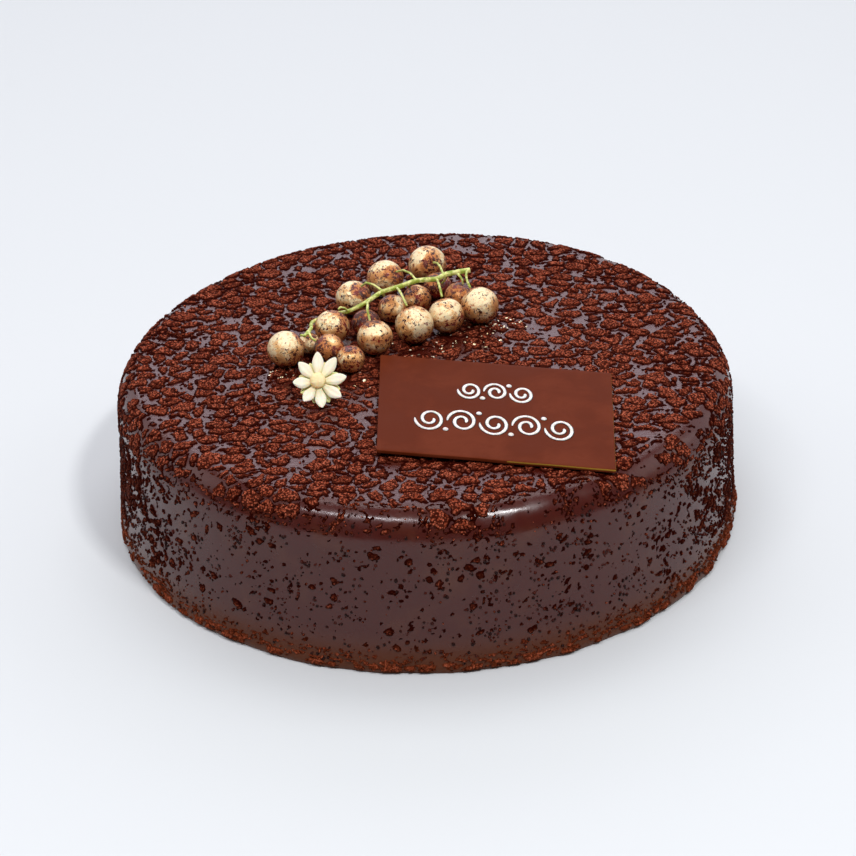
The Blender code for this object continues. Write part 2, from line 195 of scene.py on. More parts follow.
class Sketch(Nodes):
    """Builds one procedural material around its Principled shader."""

    def __init__(self, name: str, **plain: object) -> None:
        """Start a material.

        Args:
            name: Name of the material.
            **plain: Sockets of the shader that are the same all over, with _ for a space.
        """
        self.material = bpy.data.materials.new(name)
        self.material.use_nodes = True
        super().__init__(self.material.node_tree)
        self.shader = self.tree.nodes["Principled BSDF"]
        for key, value in plain.items():
            self.shader.inputs[key.replace("_", " ")].default_value = value
        self.place = self.add("ShaderNodeTexCoord").outputs["Object"]

    def noise(self, size: float, detail: float = 2.0, rough: float = 0.5, bend: float = 0.0) -> Socket:
        """Soft noise in the piece's own space.

        Args:
            size: Size of one soft spot, in metres.
            detail: Number of finer layers.
            rough: Strength of the finer layers.
            bend: How far the noise is twisted by itself.

        Returns:
            The noise, around 0.5.
        """
        node = self.add("ShaderNodeTexNoise")
        self.feed(node, "Vector", self.place)
        self.feed(node, "Scale", 1.0 / size)
        self.feed(node, "Detail", detail)
        self.feed(node, "Roughness", rough)
        self.feed(node, "Distortion", bend)
        return node.outputs["Fac"]

    def cells(self, size: float, feature: str = "F1", output: str = "Distance") -> Socket:
        """Cells of an even size in the piece's own space.

        Args:
            size: Size of one cell, in metres.
            feature: Which distance is measured.
            output: Which output is read.

        Returns:
            The output's socket.
        """
        node = self.add("ShaderNodeTexVoronoi", feature=feature)
        self.feed(node, "Vector", self.place)
        self.feed(node, "Scale", 1.0 / size)
        return node.outputs[output]

    def attribute(self, name: str) -> Socket:
        """A number stored on the mesh's points."""
        return self.add("ShaderNodeAttribute", attribute_name=name).outputs["Fac"]

    def axis(self, name: str) -> Socket:
        """One coordinate in the piece's own space: X, Y or Z."""
        return self.part(self.place, name)

    def reckon(self, way: Reckoning, first: object, second: object) -> Socket:
        """Arithmetic on two values.

        Args:
            way: What is done with them.
            first: Socket or number.
            second: Socket or number.

        Returns:
            The result.
        """
        node = self.add("ShaderNodeMath", operation=way.value)
        self.feed(node, 0, first)
        self.feed(node, 1, second)
        return node.outputs[0]

    def plus(self, first: object, second: object) -> Socket:
        """The sum of two values."""
        return self.reckon(Reckoning.SUM, first, second)

    def times(self, first: object, second: object) -> Socket:
        """The product of two values."""
        return self.reckon(Reckoning.PRODUCT, first, second)

    def most(self, first: object, second: object) -> Socket:
        """The greater of two values."""
        return self.reckon(Reckoning.GREATER, first, second)

    def relief(self, height: Socket, depth: float, strength: float = 1.0) -> None:
        """Give the surface fine relief on top of any it has.

        Args:
            height: The relief, from 0 to 1.
            depth: Real depth of the relief, in metres.
            strength: Share of it that shows.
        """
        bump = self.add("ShaderNodeBump")
        self.feed(bump, "Height", height)
        self.feed(bump, "Distance", depth)
        self.feed(bump, "Strength", strength)
        before = self.shader.inputs["Normal"].links
        if before:
            self.feed(bump, "Normal", before[0].from_socket)
        self.feed(self.shader, "Normal", bump.outputs["Normal"])

    def paint(self, **inputs: object) -> Material:
        """Link values into the shader and hand over the material.

        Args:
            **inputs: Sockets for the shader's inputs, with _ for a space.

        Returns:
            The finished material.
        """
        for key, value in inputs.items():
            self.feed(self.shader, key.replace("_", " "), value)
        return self.material


@dataclass(frozen=True)
class GlazeFinish:
    """Dark poured chocolate glaze: glossy, a little uneven, with a painted reflection, warmer brown, along
    the foot.
    """

    deep: Colour = (0.056, 0.0068, 0.0038)
    warm_tone_and_reflection: Colour = (0.095, 0.0260, 0.0085)
    gloss: float = 0.13
    dull: float = 0.30
    wave_depth: float = 0.05 * MM
    pit_depth: float = 0.16 * MM
    shine: tuple[float, float] = (0.44, 0.18)

    def build(self) -> Material:
        """Make the material.

        Returns:
            The material.
        """
        sketch = Sketch("chocolate_glaze")
        cloud = sketch.noise(9 * MM, 3)
        foot = sketch.span(sketch.axis("Z"), 14 * MM, 2 * MM)
        # Painted reflection: the colour turns warmer brown towards the foot; the cloud adds the glaze's
        # own uneven warmth.
        warm_tone_and_reflection = sketch.most(sketch.span(cloud, 0.45, 0.85, 0.0, 0.5), foot)
        colour = sketch.blend(warm_tone_and_reflection, self.deep, self.warm_tone_and_reflection)
        rough = sketch.span(sketch.noise(5 * MM, 4), 0.3, 0.75, self.gloss, self.dull)
        sketch.relief(sketch.noise(2.6 * MM, 3), self.wave_depth)
        top = sketch.span(sketch.axis("Z"), 45.6 * MM, 47 * MM)
        pits = sketch.times(sketch.noise(0.8 * MM, 3, 0.6), top)
        sketch.relief(pits, self.pit_depth)
        shine = sketch.span(foot, 0.2, 1.0, *self.shine)
        return sketch.paint(Base_Color=colour, Roughness=rough, Specular_IOR_Level=shine)


@dataclass(frozen=True)
class SpeckFinish:
    """Nearly black, shiny drops of hardened glaze."""

    body: Colour = (0.014, 0.0020, 0.0012)
    red: Colour = (0.060, 0.0080, 0.0035)

    def build(self) -> Material:
        """Make the material.

        Returns:
            The material.
        """
        sketch = Sketch("glaze_drops", Roughness=0.40, Specular_IOR_Level=0.12)
        cloud = sketch.noise(2.5 * MM, 3)
        sketch.relief(cloud, 0.05 * MM)
        return sketch.paint(Base_Color=sketch.blend(sketch.span(cloud, 0.45, 0.6), self.body, self.red))


@dataclass(frozen=True)
class CrumbFinish:
    """Velvety red-brown crumbs of cocoa butter and cocoa, with painted shade in their creases, pits and
    patch edges and on the wall.
    """

    shade: Colour = (0.022, 0.0014, 0.0003)
    body: Colour = (0.250, 0.0430, 0.0170)
    bright: Colour = (0.540, 0.1350, 0.0700)
    foot: Colour = (0.330, 0.0720, 0.0240)
    tone_share: float = 0.30
    crease_shade_share: float = 0.92
    wall_shade: float = 0.58
    grain: float = 0.60 * MM
    grain_depth: float = 0.32 * MM
    fine_depth: float = 0.22 * MM

    def build(self) -> Material:
        """Make the material.

        Returns:
            The material.
        """
        sketch = Sketch("cocoa_crumbs", Roughness=0.7, Specular_IOR_Level=0.015)
        tone = sketch.attribute("tone")
        # The rise attribute holds each point's share of painted light. It is low in the painted shadow
        # along a patch's edge and between its lobes.
        rise = sketch.attribute("rise")
        fine = sketch.noise(0.50 * MM, 4, 0.75)
        mixed = sketch.plus(sketch.times(tone, self.tone_share), fine)
        colour = sketch.blend(sketch.span(mixed, 0.50, 0.82), self.body, self.bright)
        # Painted shadow along the edge of each patch and in the creases between lobes.
        low = sketch.span(rise, 0.92, 0.22)
        grains = sketch.cells(self.grain)
        # Painted shade in the creases between grains and in the noise pits.
        crease_shade = sketch.span(grains, 0.34, 0.58)
        pits = sketch.span(sketch.noise(1.0 * MM, 4, 0.8), 0.49, 0.38)
        dark = sketch.most(low, sketch.times(sketch.most(crease_shade, pits), self.crease_shade_share))
        colour = sketch.blend(dark, colour, self.shade)
        # Painted shade on the crumbs of the wall, from 6 mm to 42 mm up.
        wall = sketch.span(sketch.axis("Z"), 42 * MM, 34 * MM)
        wall = sketch.times(wall, sketch.span(sketch.axis("Z"), 6 * MM, 12 * MM))
        colour = sketch.blend(sketch.times(wall, self.wall_shade), colour, self.shade)
        foot = sketch.span(sketch.axis("Z"), 11 * MM, 3 * MM, 0.0, 0.45)
        colour = sketch.blend(sketch.times(foot, sketch.span(fine, 0.35, 0.6)), colour, self.foot)
        sketch.relief(grains, -self.grain_depth)
        sketch.relief(fine, self.fine_depth)
        return sketch.paint(Base_Color=colour)


@dataclass(frozen=True)
class MilkChocolateFinish:
    """Satin milk chocolate with faint cloudy bloom and a mustard edge at its right end."""

    body: Colour = (0.099, 0.0165, 0.0042)
    pale: Colour = (0.127, 0.0250, 0.0092)
    edge: Colour = (0.300, 0.1700, 0.0220)

    def build(self) -> Material:
        """Make the material.

        Returns:
            The material.
        """
        sketch = Sketch("milk_chocolate", Specular_IOR_Level=0.02)
        cloud = sketch.noise(16 * MM, 4, 0.6, 0.4)
        scuff = sketch.noise(2.2 * MM, 3)
        colour = sketch.blend(sketch.span(cloud, 0.42, 0.68), self.body, self.pale)
        colour = sketch.blend(sketch.span(scuff, 0.55, 0.75, 0.0, 0.4), colour, self.body)
        colour = sketch.blend(sketch.span(sketch.attribute("right_edge"), 0.55, 0.70), colour, self.edge)
        rough = sketch.span(cloud, 0.3, 0.7, 0.38, 0.52)
        sketch.relief(sketch.noise(5 * MM, 3), 0.05 * MM)
        sketch.relief(sketch.noise(0.6 * MM, 2), 0.012 * MM)
        return sketch.paint(Base_Color=colour, Roughness=rough)


@dataclass(frozen=True)
class IcingFinish:
    """White sugar icing, piped in round lines."""

    body: Colour = (0.86, 0.85, 0.82)
    shade: Colour = (0.66, 0.62, 0.56)

    def build(self) -> Material:
        """Make the material.

        Returns:
            The material.
        """
        sketch = Sketch("white_icing", Roughness=0.38, Subsurface_Weight=0.15, Subsurface_Scale=0.4 * MM)
        grain = sketch.noise(0.8 * MM, 3)
        sketch.relief(grain, 0.03 * MM)
        return sketch.paint(Base_Color=sketch.blend(sketch.span(grain, 0.6, 0.35), self.body, self.shade))


@dataclass(frozen=True)
class PipingShadowFinish:
    """Painted shadow: a dark line round the piped icing, where it meets the slab."""

    body: Colour = (0.030, 0.0060, 0.0040)
    pale: Colour = (0.045, 0.0100, 0.0060)

    def build(self) -> Material:
        """Make the material.

        Returns:
            The material.
        """
        sketch = Sketch("piping_shadow", Specular_IOR_Level=0.3)
        grain = sketch.noise(1.2 * MM, 2)
        return sketch.paint(
            Base_Color=sketch.blend(grain, self.body, self.pale),
            Roughness=sketch.span(grain, 0.3, 0.7, 0.4, 0.6),
        )


@dataclass(frozen=True)
class GildedSkinFinish:
    """Dark red currant skin under crumpled, speckled gold leaf. Painted light makes the leaf paler on the
    top and front; below, more bare skin and orange-brown leaf stand as painted shade and painted
    reflection of the cake.
    """

    skin: Colour = (0.050, 0.0030, 0.0025)
    bright_skin: Colour = (0.220, 0.0130, 0.0060)
    leaf: Colour = (0.860, 0.500, 0.190)
    pale_leaf: Colour = (1.000, 0.840, 0.520)
    copper_and_cake_reflection: Colour = (0.560, 0.180, 0.042)
    tear: float = 3.4
    fleck: float = 4.6
    metal: float = 0.68
    crumple_depth: float = 0.34 * MM
    leaf_depth: float = 0.05 * MM

    def build(self) -> Material:
        """Make the material.

        Returns:
            The material.
        """
        sketch = Sketch("gilded_skin", Specular_IOR_Level=0.6)
        gild_and_light = sketch.attribute("gild_and_light")
        torn = sketch.noise(1.9 * MM, 4, 0.72, 0.8)
        fleck = sketch.noise(1.0 * MM, 3, 0.75)
        cover = sketch.plus(gild_and_light, sketch.times(sketch.plus(torn, -0.5), self.tear))
        cover = sketch.plus(cover, sketch.times(sketch.plus(fleck, -0.5), self.fleck))
        cover = sketch.span(cover, 0.46, 0.50)
        skin = sketch.blend(sketch.span(sketch.noise(2.5 * MM, 2), 0.4, 0.7), self.skin, self.bright_skin)
        # Painted highlight: the leaf turns paler where the gilding value is high, which includes the
        # painted light on the top and front.
        thick_leaf_and_highlight = sketch.span(gild_and_light, 0.70, 1.10, -0.14, 0.08)
        patchy = sketch.plus(sketch.noise(1.1 * MM, 4, 0.75), thick_leaf_and_highlight)
        gold = sketch.blend(sketch.span(patchy, 0.42, 0.58), self.leaf, self.pale_leaf)
        # Painted reflection of the brown cake and painted shade: the leaf turns copper on the lower side;
        # the rust patches are the leaf's own tone.
        low = sketch.span(gild_and_light, 0.98, 0.55, 0.0, 0.90)
        rust = sketch.span(sketch.noise(1.6 * MM, 4, 0.75), 0.55, 0.70)
        gold = sketch.blend(sketch.most(rust, low), gold, self.copper_and_cake_reflection)
        crumple = sketch.noise(0.60 * MM, 4, 0.65, 0.8)
        sketch.relief(crumple, self.crumple_depth)
        sketch.relief(cover, self.leaf_depth)
        return sketch.paint(
            Base_Color=sketch.blend(cover, skin, gold),
            Metallic=sketch.times(cover, self.metal),
            Roughness=sketch.span(cover, 0.0, 1.0, 0.14, 0.30),
        )


@dataclass(frozen=True)
class GoldLeafFinish:
    """Loose scraps of gold leaf."""

    body: Colour = (0.93, 0.74, 0.42)
    pale: Colour = (0.97, 0.90, 0.72)

    def build(self) -> Material:
        """Make the material.

        Returns:
            The material.
        """
        sketch = Sketch("gold_leaf", Metallic=0.9)
        grain = sketch.noise(0.7 * MM, 3)
        sketch.relief(grain, 0.08 * MM)
        return sketch.paint(
            Base_Color=sketch.blend(sketch.span(grain, 0.4, 0.6), self.body, self.pale),
            Roughness=sketch.span(grain, 0.3, 0.7, 0.22, 0.40),
        )


@dataclass(frozen=True)
class StalkFinish:
    """Yellow-green stalk with paler streaks, partly its ridges and partly painted highlight, and brown
    flecks.
    """

    green: Colour = (0.300, 0.380, 0.035)
    pale: Colour = (0.740, 0.750, 0.260)
    brown: Colour = (0.250, 0.120, 0.030)

    def build(self) -> Material:
        """Make the material.

        Returns:
            The material.
        """
        sketch = Sketch("green_stalk", Roughness=0.42, Subsurface_Weight=0.1, Subsurface_Scale=0.5 * MM)
        streak = sketch.noise(1.6 * MM, 3, 0.6)
        fleck = sketch.noise(0.5 * MM, 2)
        # Paler streaks along the ridges: partly the stalk's own tone, partly painted highlight.
        colour = sketch.blend(sketch.span(streak, 0.40, 0.62), self.green, self.pale)
        colour = sketch.blend(sketch.span(fleck, 0.60, 0.75, 0.0, 0.7), colour, self.brown)
        sketch.relief(streak, 0.10 * MM)
        sketch.relief(fleck, 0.03 * MM)
        return sketch.paint(Base_Color=colour)


@dataclass(frozen=True)
class SugarPasteFinish:
    """Moulded sugar paste, darker or greener towards the flower's middle."""

    name: str
    tip: Colour
    root: Colour
    reach: float = 3.2 * MM

    def build(self) -> Material:
        """Make the material.

        Returns:
            The material.
        """
        sketch = Sketch(self.name, Roughness=0.45, Subsurface_Weight=0.25, Subsurface_Scale=0.8 * MM)
        along = sketch.attribute("along")
        cloud = sketch.noise(1.5 * MM, 3)
        share = sketch.plus(along, sketch.times(sketch.plus(cloud, -0.5), 0.4))
        colour = sketch.blend(sketch.span(share, 0.1, 0.65), self.root, self.tip)
        sketch.relief(sketch.noise(0.7 * MM, 3), 0.05 * MM)
        return sketch.paint(Base_Color=colour)


@dataclass(frozen=True)
class FloorFinish:
    """Matt, nearly white studio floor."""

    body: Colour = (0.655, 0.684, 0.692)

    def build(self) -> Material:
        """Make the material.

        Returns:
            The material.
        """
        sketch = Sketch("studio_floor", Roughness=0.9, Specular_IOR_Level=0.1)
        return sketch.paint(Base_Color=(*self.body, 1.0))


def add_object(name: str, data: bpy.types.ID) -> Piece:
    """Add an object to the scene.

    Args:
        name: Its name.
        data: Its mesh, light or camera.

    Returns:
        The object.
    """
    thing = bpy.data.objects.new(name, data)
    bpy.context.scene.collection.objects.link(thing)
    return thing


def points_of(geometry: Iterable[object]) -> list[Point]:
    """The points among the results of an operator."""
    return [part for part in geometry if isinstance(part, Point)]


def edges_of(geometry: Iterable[object]) -> list[Edge]:
    """The edges among the results of an operator."""
    return [part for part in geometry if isinstance(part, Edge)]


def rim_of(bm: Shape) -> list[Edge]:
    """The edges that have a face on one side only."""
    return [edge for edge in bm.edges if edge.is_boundary]


def extend(bm: Shape, rim: list[Edge], move: Callable[[Vector], Vector]) -> list[Edge]:
    """Extrude a rim by one row.

    Args:
        bm: The bmesh.
        rim: The rim's edges.
        move: Gives a new point its place from the place of the old one.

    Returns:
        The new rim's edges.
    """
    grown = bmesh.ops.extrude_edge_only(bm, edges=rim)["geom"]
    for vertex in points_of(grown):
        vertex.co = move(vertex.co)
    return edges_of(grown)


def make_piece(
    name: str,
    bm: Shape,
    materials: Iterable[Material],
    replaces: Iterable[str] = (),
    sharp: float = 180.0,
) -> Piece:
    """Turn a closed bmesh into a piece of the object that rides on its body.

    Args:
        name: Name of the piece.
        bm: Its shape, in the frame, which is freed.
        materials: Materials in the order of its faces' material numbers.
        replaces: CAD nodes that it stands for.
        sharp: Angle over which an edge is shaded sharp, in degrees.

    Returns:
        The piece.
    """
    bmesh.ops.recalc_face_normals(bm, faces=bm.faces)
    mesh = bpy.data.meshes.new(name)
    bm.to_mesh(mesh)
    bm.free()
    for material in materials:
        mesh.materials.append(material)
    mesh.shade_smooth()
    if sharp < 180.0:
        mesh.set_sharp_from_angle(angle=math.radians(sharp))
    piece = add_object(name, mesh)
    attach(piece, BODY)
    if replaces:
        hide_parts(*replaces)
    LOG.info("%s: %d faces", name, len(mesh.polygons))
    return piece


def sweep(
    bm: Shape,
    path: list[Vector],
    radii: list[float],
    sides: int,
    flat: float = 1.0,
    up: Vector = Vector((0, 0, 1)),
) -> list[Point]:
    """Sweep a ring along a path by extruding it from point to point, and close both ends.

    Args:
        bm: The bmesh that takes the tube.
        path: Points of the middle line.
        radii: Radius at each point.
        sides: Number of sides.
        flat: Height of the ring over its width.
        up: Direction that the ring's height keeps to.

    Returns:
        The tube's vertices.
    """

    def shape(ring: list[Point], index: int) -> None:
        """Lay a ring round one point of the path.

        Args:
            ring: Its vertices in order.
            index: Number of the point.
        """
        ahead = (path[min(index + 1, len(path) - 1)] - path[max(index - 1, 0)]).normalized()
        across = ahead.cross(up).normalized()
        high = across.cross(ahead)
        for corner, vertex in enumerate(ring):
            angle = 2 * math.pi * corner / sides
            offset = across * math.cos(angle) + high * math.sin(angle) * flat
            vertex.co = path[index] + offset * radii[index]

    start = bmesh.ops.create_circle(bm, cap_ends=False, segments=sides, radius=1)["verts"]
    made = list(start)
    shape(start, 0)
    ring = start
    edges = list(dict.fromkeys(e for v in ring for e in v.link_edges))
    caps = [list(edges)]
    for index in range(1, len(path)):
        links = {v: None for v in ring}
        grown = bmesh.ops.extrude_edge_only(bm, edges=edges)["geom"]
        for vertex in points_of(grown):
            for edge in vertex.link_edges:
                other = edge.other_vert(vertex)
                if other in links:
                    links[other] = vertex
        ring = [links[v] for v in ring]
        shape(ring, index)
        edges = edges_of(grown)
        made += ring
    caps.append(edges)
    for edge_loop in caps:
        bmesh.ops.contextual_create(bm, geom=edge_loop)
    return made


def new_shape(*layers: str) -> Shape:
    """An empty bmesh whose points carry numbers.

    Args:
        *layers: Names of the numbers.

    Returns:
        The bmesh.
    """
    bm = bmesh.new()
    for name in layers:
        bm.verts.layers.float.new(name)
    return bm


def scatter(bm: Shape, places: list[Matrix], subdivisions: int = 1, batch: int = 60) -> int:
    """Add many small icospheres, a batch at a time.

    Args:
        bm: The bmesh that takes them.
        places: Place, turn and size of each.
        subdivisions: Fineness of the icosphere.
        batch: Number made at once.

    Returns:
        Number of points of each, which follow one another in the bmesh.
    """
    points = 0
    for start in range(0, len(places), batch):
        part = bmesh.new()
        for place in places[start : start + batch]:
            ball = bmesh.ops.create_icosphere(part, subdivisions=subdivisions, radius=1, matrix=place)
            points = len(ball["verts"])
        mesh = bpy.data.meshes.new("part")
        part.to_mesh(mesh)
        part.free()
        bm.from_mesh(mesh)
        bpy.data.meshes.remove(mesh)
    return points


def layer(bm: Shape, name: str) -> bmesh.types.BMLayerItem:
    """The layer that holds the named number of each point."""
    return bm.verts.layers.float[name]


@dataclass
class CakeForm:
    """The cake's outline: a flat domed top, a round rim and a wall that spreads to the foot."""

    radius: float = 87.5 * MM
    height: float = 47.6 * MM
    dome: float = 0.6 * MM
    rim: float = 8.0 * MM
    rim_fall: float = 10.5 * MM  # height of the rim's round
    foot_radius: float = 89.5 * MM
    foot_lip: float = 1.2 * MM
    flare: float = 1.5  # how late the wall spreads towards the foot
    # out of round: direction, half the spread and height of each bulge
    bulges: tuple[tuple[float, float, float], ...] = ((58, 45, 1.6 * MM), (140, 35, -0.8 * MM))
    foot_wobble: float = 0.7 * MM
    wobble_reach: float = 7.0 * MM
    wobble_detail: float = 9.0

    @property
    def flat(self) -> float:
        """Radius of the flat top."""
        return self.radius - self.rim

    @property
    def arc(self) -> float:
        """Length of the rim's quarter round."""
        return (self.rim + self.rim_fall) * math.pi / 4

    @property
    def wall_top(self) -> float:
        """Height at which the rim's round meets the wall."""
        return self.height - self.dome - self.rim_fall

    @property
    def length(self) -> float:
        """Length of the whole profile, from the middle of the top to the foot's lip."""
        return self.flat + self.arc + self.wall_top - self.foot_lip

    def bulge(self, angle: float) -> float:
        """How far the outline stands out of its circle.

        Args:
            angle: Direction from the middle, in radians.

        Returns:
            The distance.
        """
        total = 0.0
        for middle, spread, height in self.bulges:
            off = abs((math.degrees(angle) - middle + 180) % 360 - 180)
            total += height * smoothstep(spread, 0, off)
        return total

    def at(self, along: float, angle: float) -> tuple[Vector, Vector]:
        """A point of the bare glaze.

        Args:
            along: Distance from the middle of the top, measured down the profile.
            angle: Direction from the middle, in radians.

        Returns:
            The point and the direction straight out of the surface there.
        """
        out = Vector((math.cos(angle), math.sin(angle), 0))
        low = self.wall_top
        if along <= self.flat:
            share = along / self.flat
            spread = self.bulge(angle) * share
            point = out * (along + spread) + Vector((0, 0, self.height - self.dome * share**2))
            return point, Vector((0, 0, 1))
        if along <= self.flat + self.arc:
            turn = (along - self.flat) / self.arc * math.pi / 2
            place = self.flat + self.rim * math.sin(turn) + self.bulge(angle)
            point = out * place + Vector((0, 0, low + self.rim_fall * math.cos(turn)))
            slope = out * math.sin(turn) * self.rim_fall + Vector((0, 0, math.cos(turn) * self.rim))
            return point, slope.normalized()
        down = along - self.flat - self.arc
        share = min(down / (low - self.foot_lip), 1.0)
        place = self.radius + (self.foot_radius - self.radius) * share**self.flare + self.bulge(angle)
        height = low - down
        wobble = self.foot_wobble * noise.noise(out * self.wobble_detail)
        wobble *= smoothstep(self.wobble_reach, 0, height)
        return out * (place + wobble) + Vector((0, 0, height)), out.copy()


def disc_lattice(bm: Shape, rings: int) -> list[tuple[Point, float, float]]:
    """An even lattice of triangles on a disc of radius 1, from a hexagon with rounded rings.

    Args:
        bm: The empty bmesh that takes it.
        rings: Number of rings.

    Returns:
        Each vertex with its radius and its angle.
    """
    turn = Matrix.Rotation(math.radians(30), 4, "Z")
    bmesh.ops.create_circle(bm, cap_ends=True, cap_tris=True, segments=6, radius=1, matrix=turn)
    bmesh.ops.subdivide_edges(bm, edges=bm.edges, cuts=rings - 1, use_grid_fill=True)
    sixth = math.pi / 3
    placed = []
    for vertex in bm.verts:
        angle = math.atan2(vertex.co.y, vertex.co.x) % (2 * math.pi)
        side, within = divmod(angle, sixth)
        off = within - sixth / 2
        ring = math.hypot(vertex.co.x, vertex.co.y) * math.cos(off) / math.cos(sixth / 2)
        angle = (side + 0.5 + math.tan(off) / (2 * math.tan(sixth / 2))) * sixth
        placed.append((vertex, ring, angle))
    return placed


@dataclass
class GlazedBody:
    """The cake under its poured glaze, one smooth closed solid with a lumpy foot."""

    form: CakeForm
    top_rings: int = 56
    rim_rows: int = 10
    wall_rows: int = 30
    sag: float = 0.16 * MM
    sag_size: float = 17 * MM
    ripple_share: float = 0.35
    ripple_size: float = 6 * MM
    foot_inset: float = 0.6 * MM

    def uneven(self, point: Vector) -> float:
        """How far the glaze stands off its even surface.

        Args:
            point: Place on the even surface.

        Returns:
            The distance.
        """
        slow = noise.noise(point / self.sag_size)
        quick = noise.noise(point / self.ripple_size + Vector((3, 1, 7)))
        return self.sag * (slow + self.ripple_share * quick)

    def build(self, finish: Material) -> Piece:
        """Make the piece.

        Args:
            finish: The glaze's material.

        Returns:
            The piece, which stands for the CAD node of the cake.
        """
        form = self.form
        bm = bmesh.new()
        for vertex, ring, angle in disc_lattice(bm, self.top_rings):
            point, out = form.at(ring * form.flat, angle)
            vertex.co = point + out * self.uneven(point)
        steps = [form.flat + form.arc * (n + 1) / self.rim_rows for n in range(self.rim_rows)]
        wall = form.length - steps[-1]
        steps += [form.flat + form.arc + wall * (n + 1) / self.wall_rows for n in range(self.wall_rows)]
        rim = rim_of(bm)
        for along in steps:
            rim = extend(bm, rim, lambda old, along=along: self.skin(old, along))
        rim = extend(bm, rim, self.tuck)
        bmesh.ops.contextual_create(bm, geom=rim)
        return make_piece("glazed_body", bm, [finish], ["cake"], sharp=50)

    def skin(self, near: Vector, along: float) -> Vector:
        """A point of the uneven glaze.

        Args:
            near: A place in the same direction from the middle.
            along: Distance of the point down the profile.

        Returns:
            The point.
        """
        point, out = self.form.at(along, math.atan2(near.y, near.x))
        return point + out * self.uneven(point)

    def tuck(self, edge: Vector) -> Vector:
        """The point of the resting face that lies under a point of the foot's edge."""
        level = Vector((edge.x, edge.y, 0))
        return level - level.normalized() * self.foot_inset


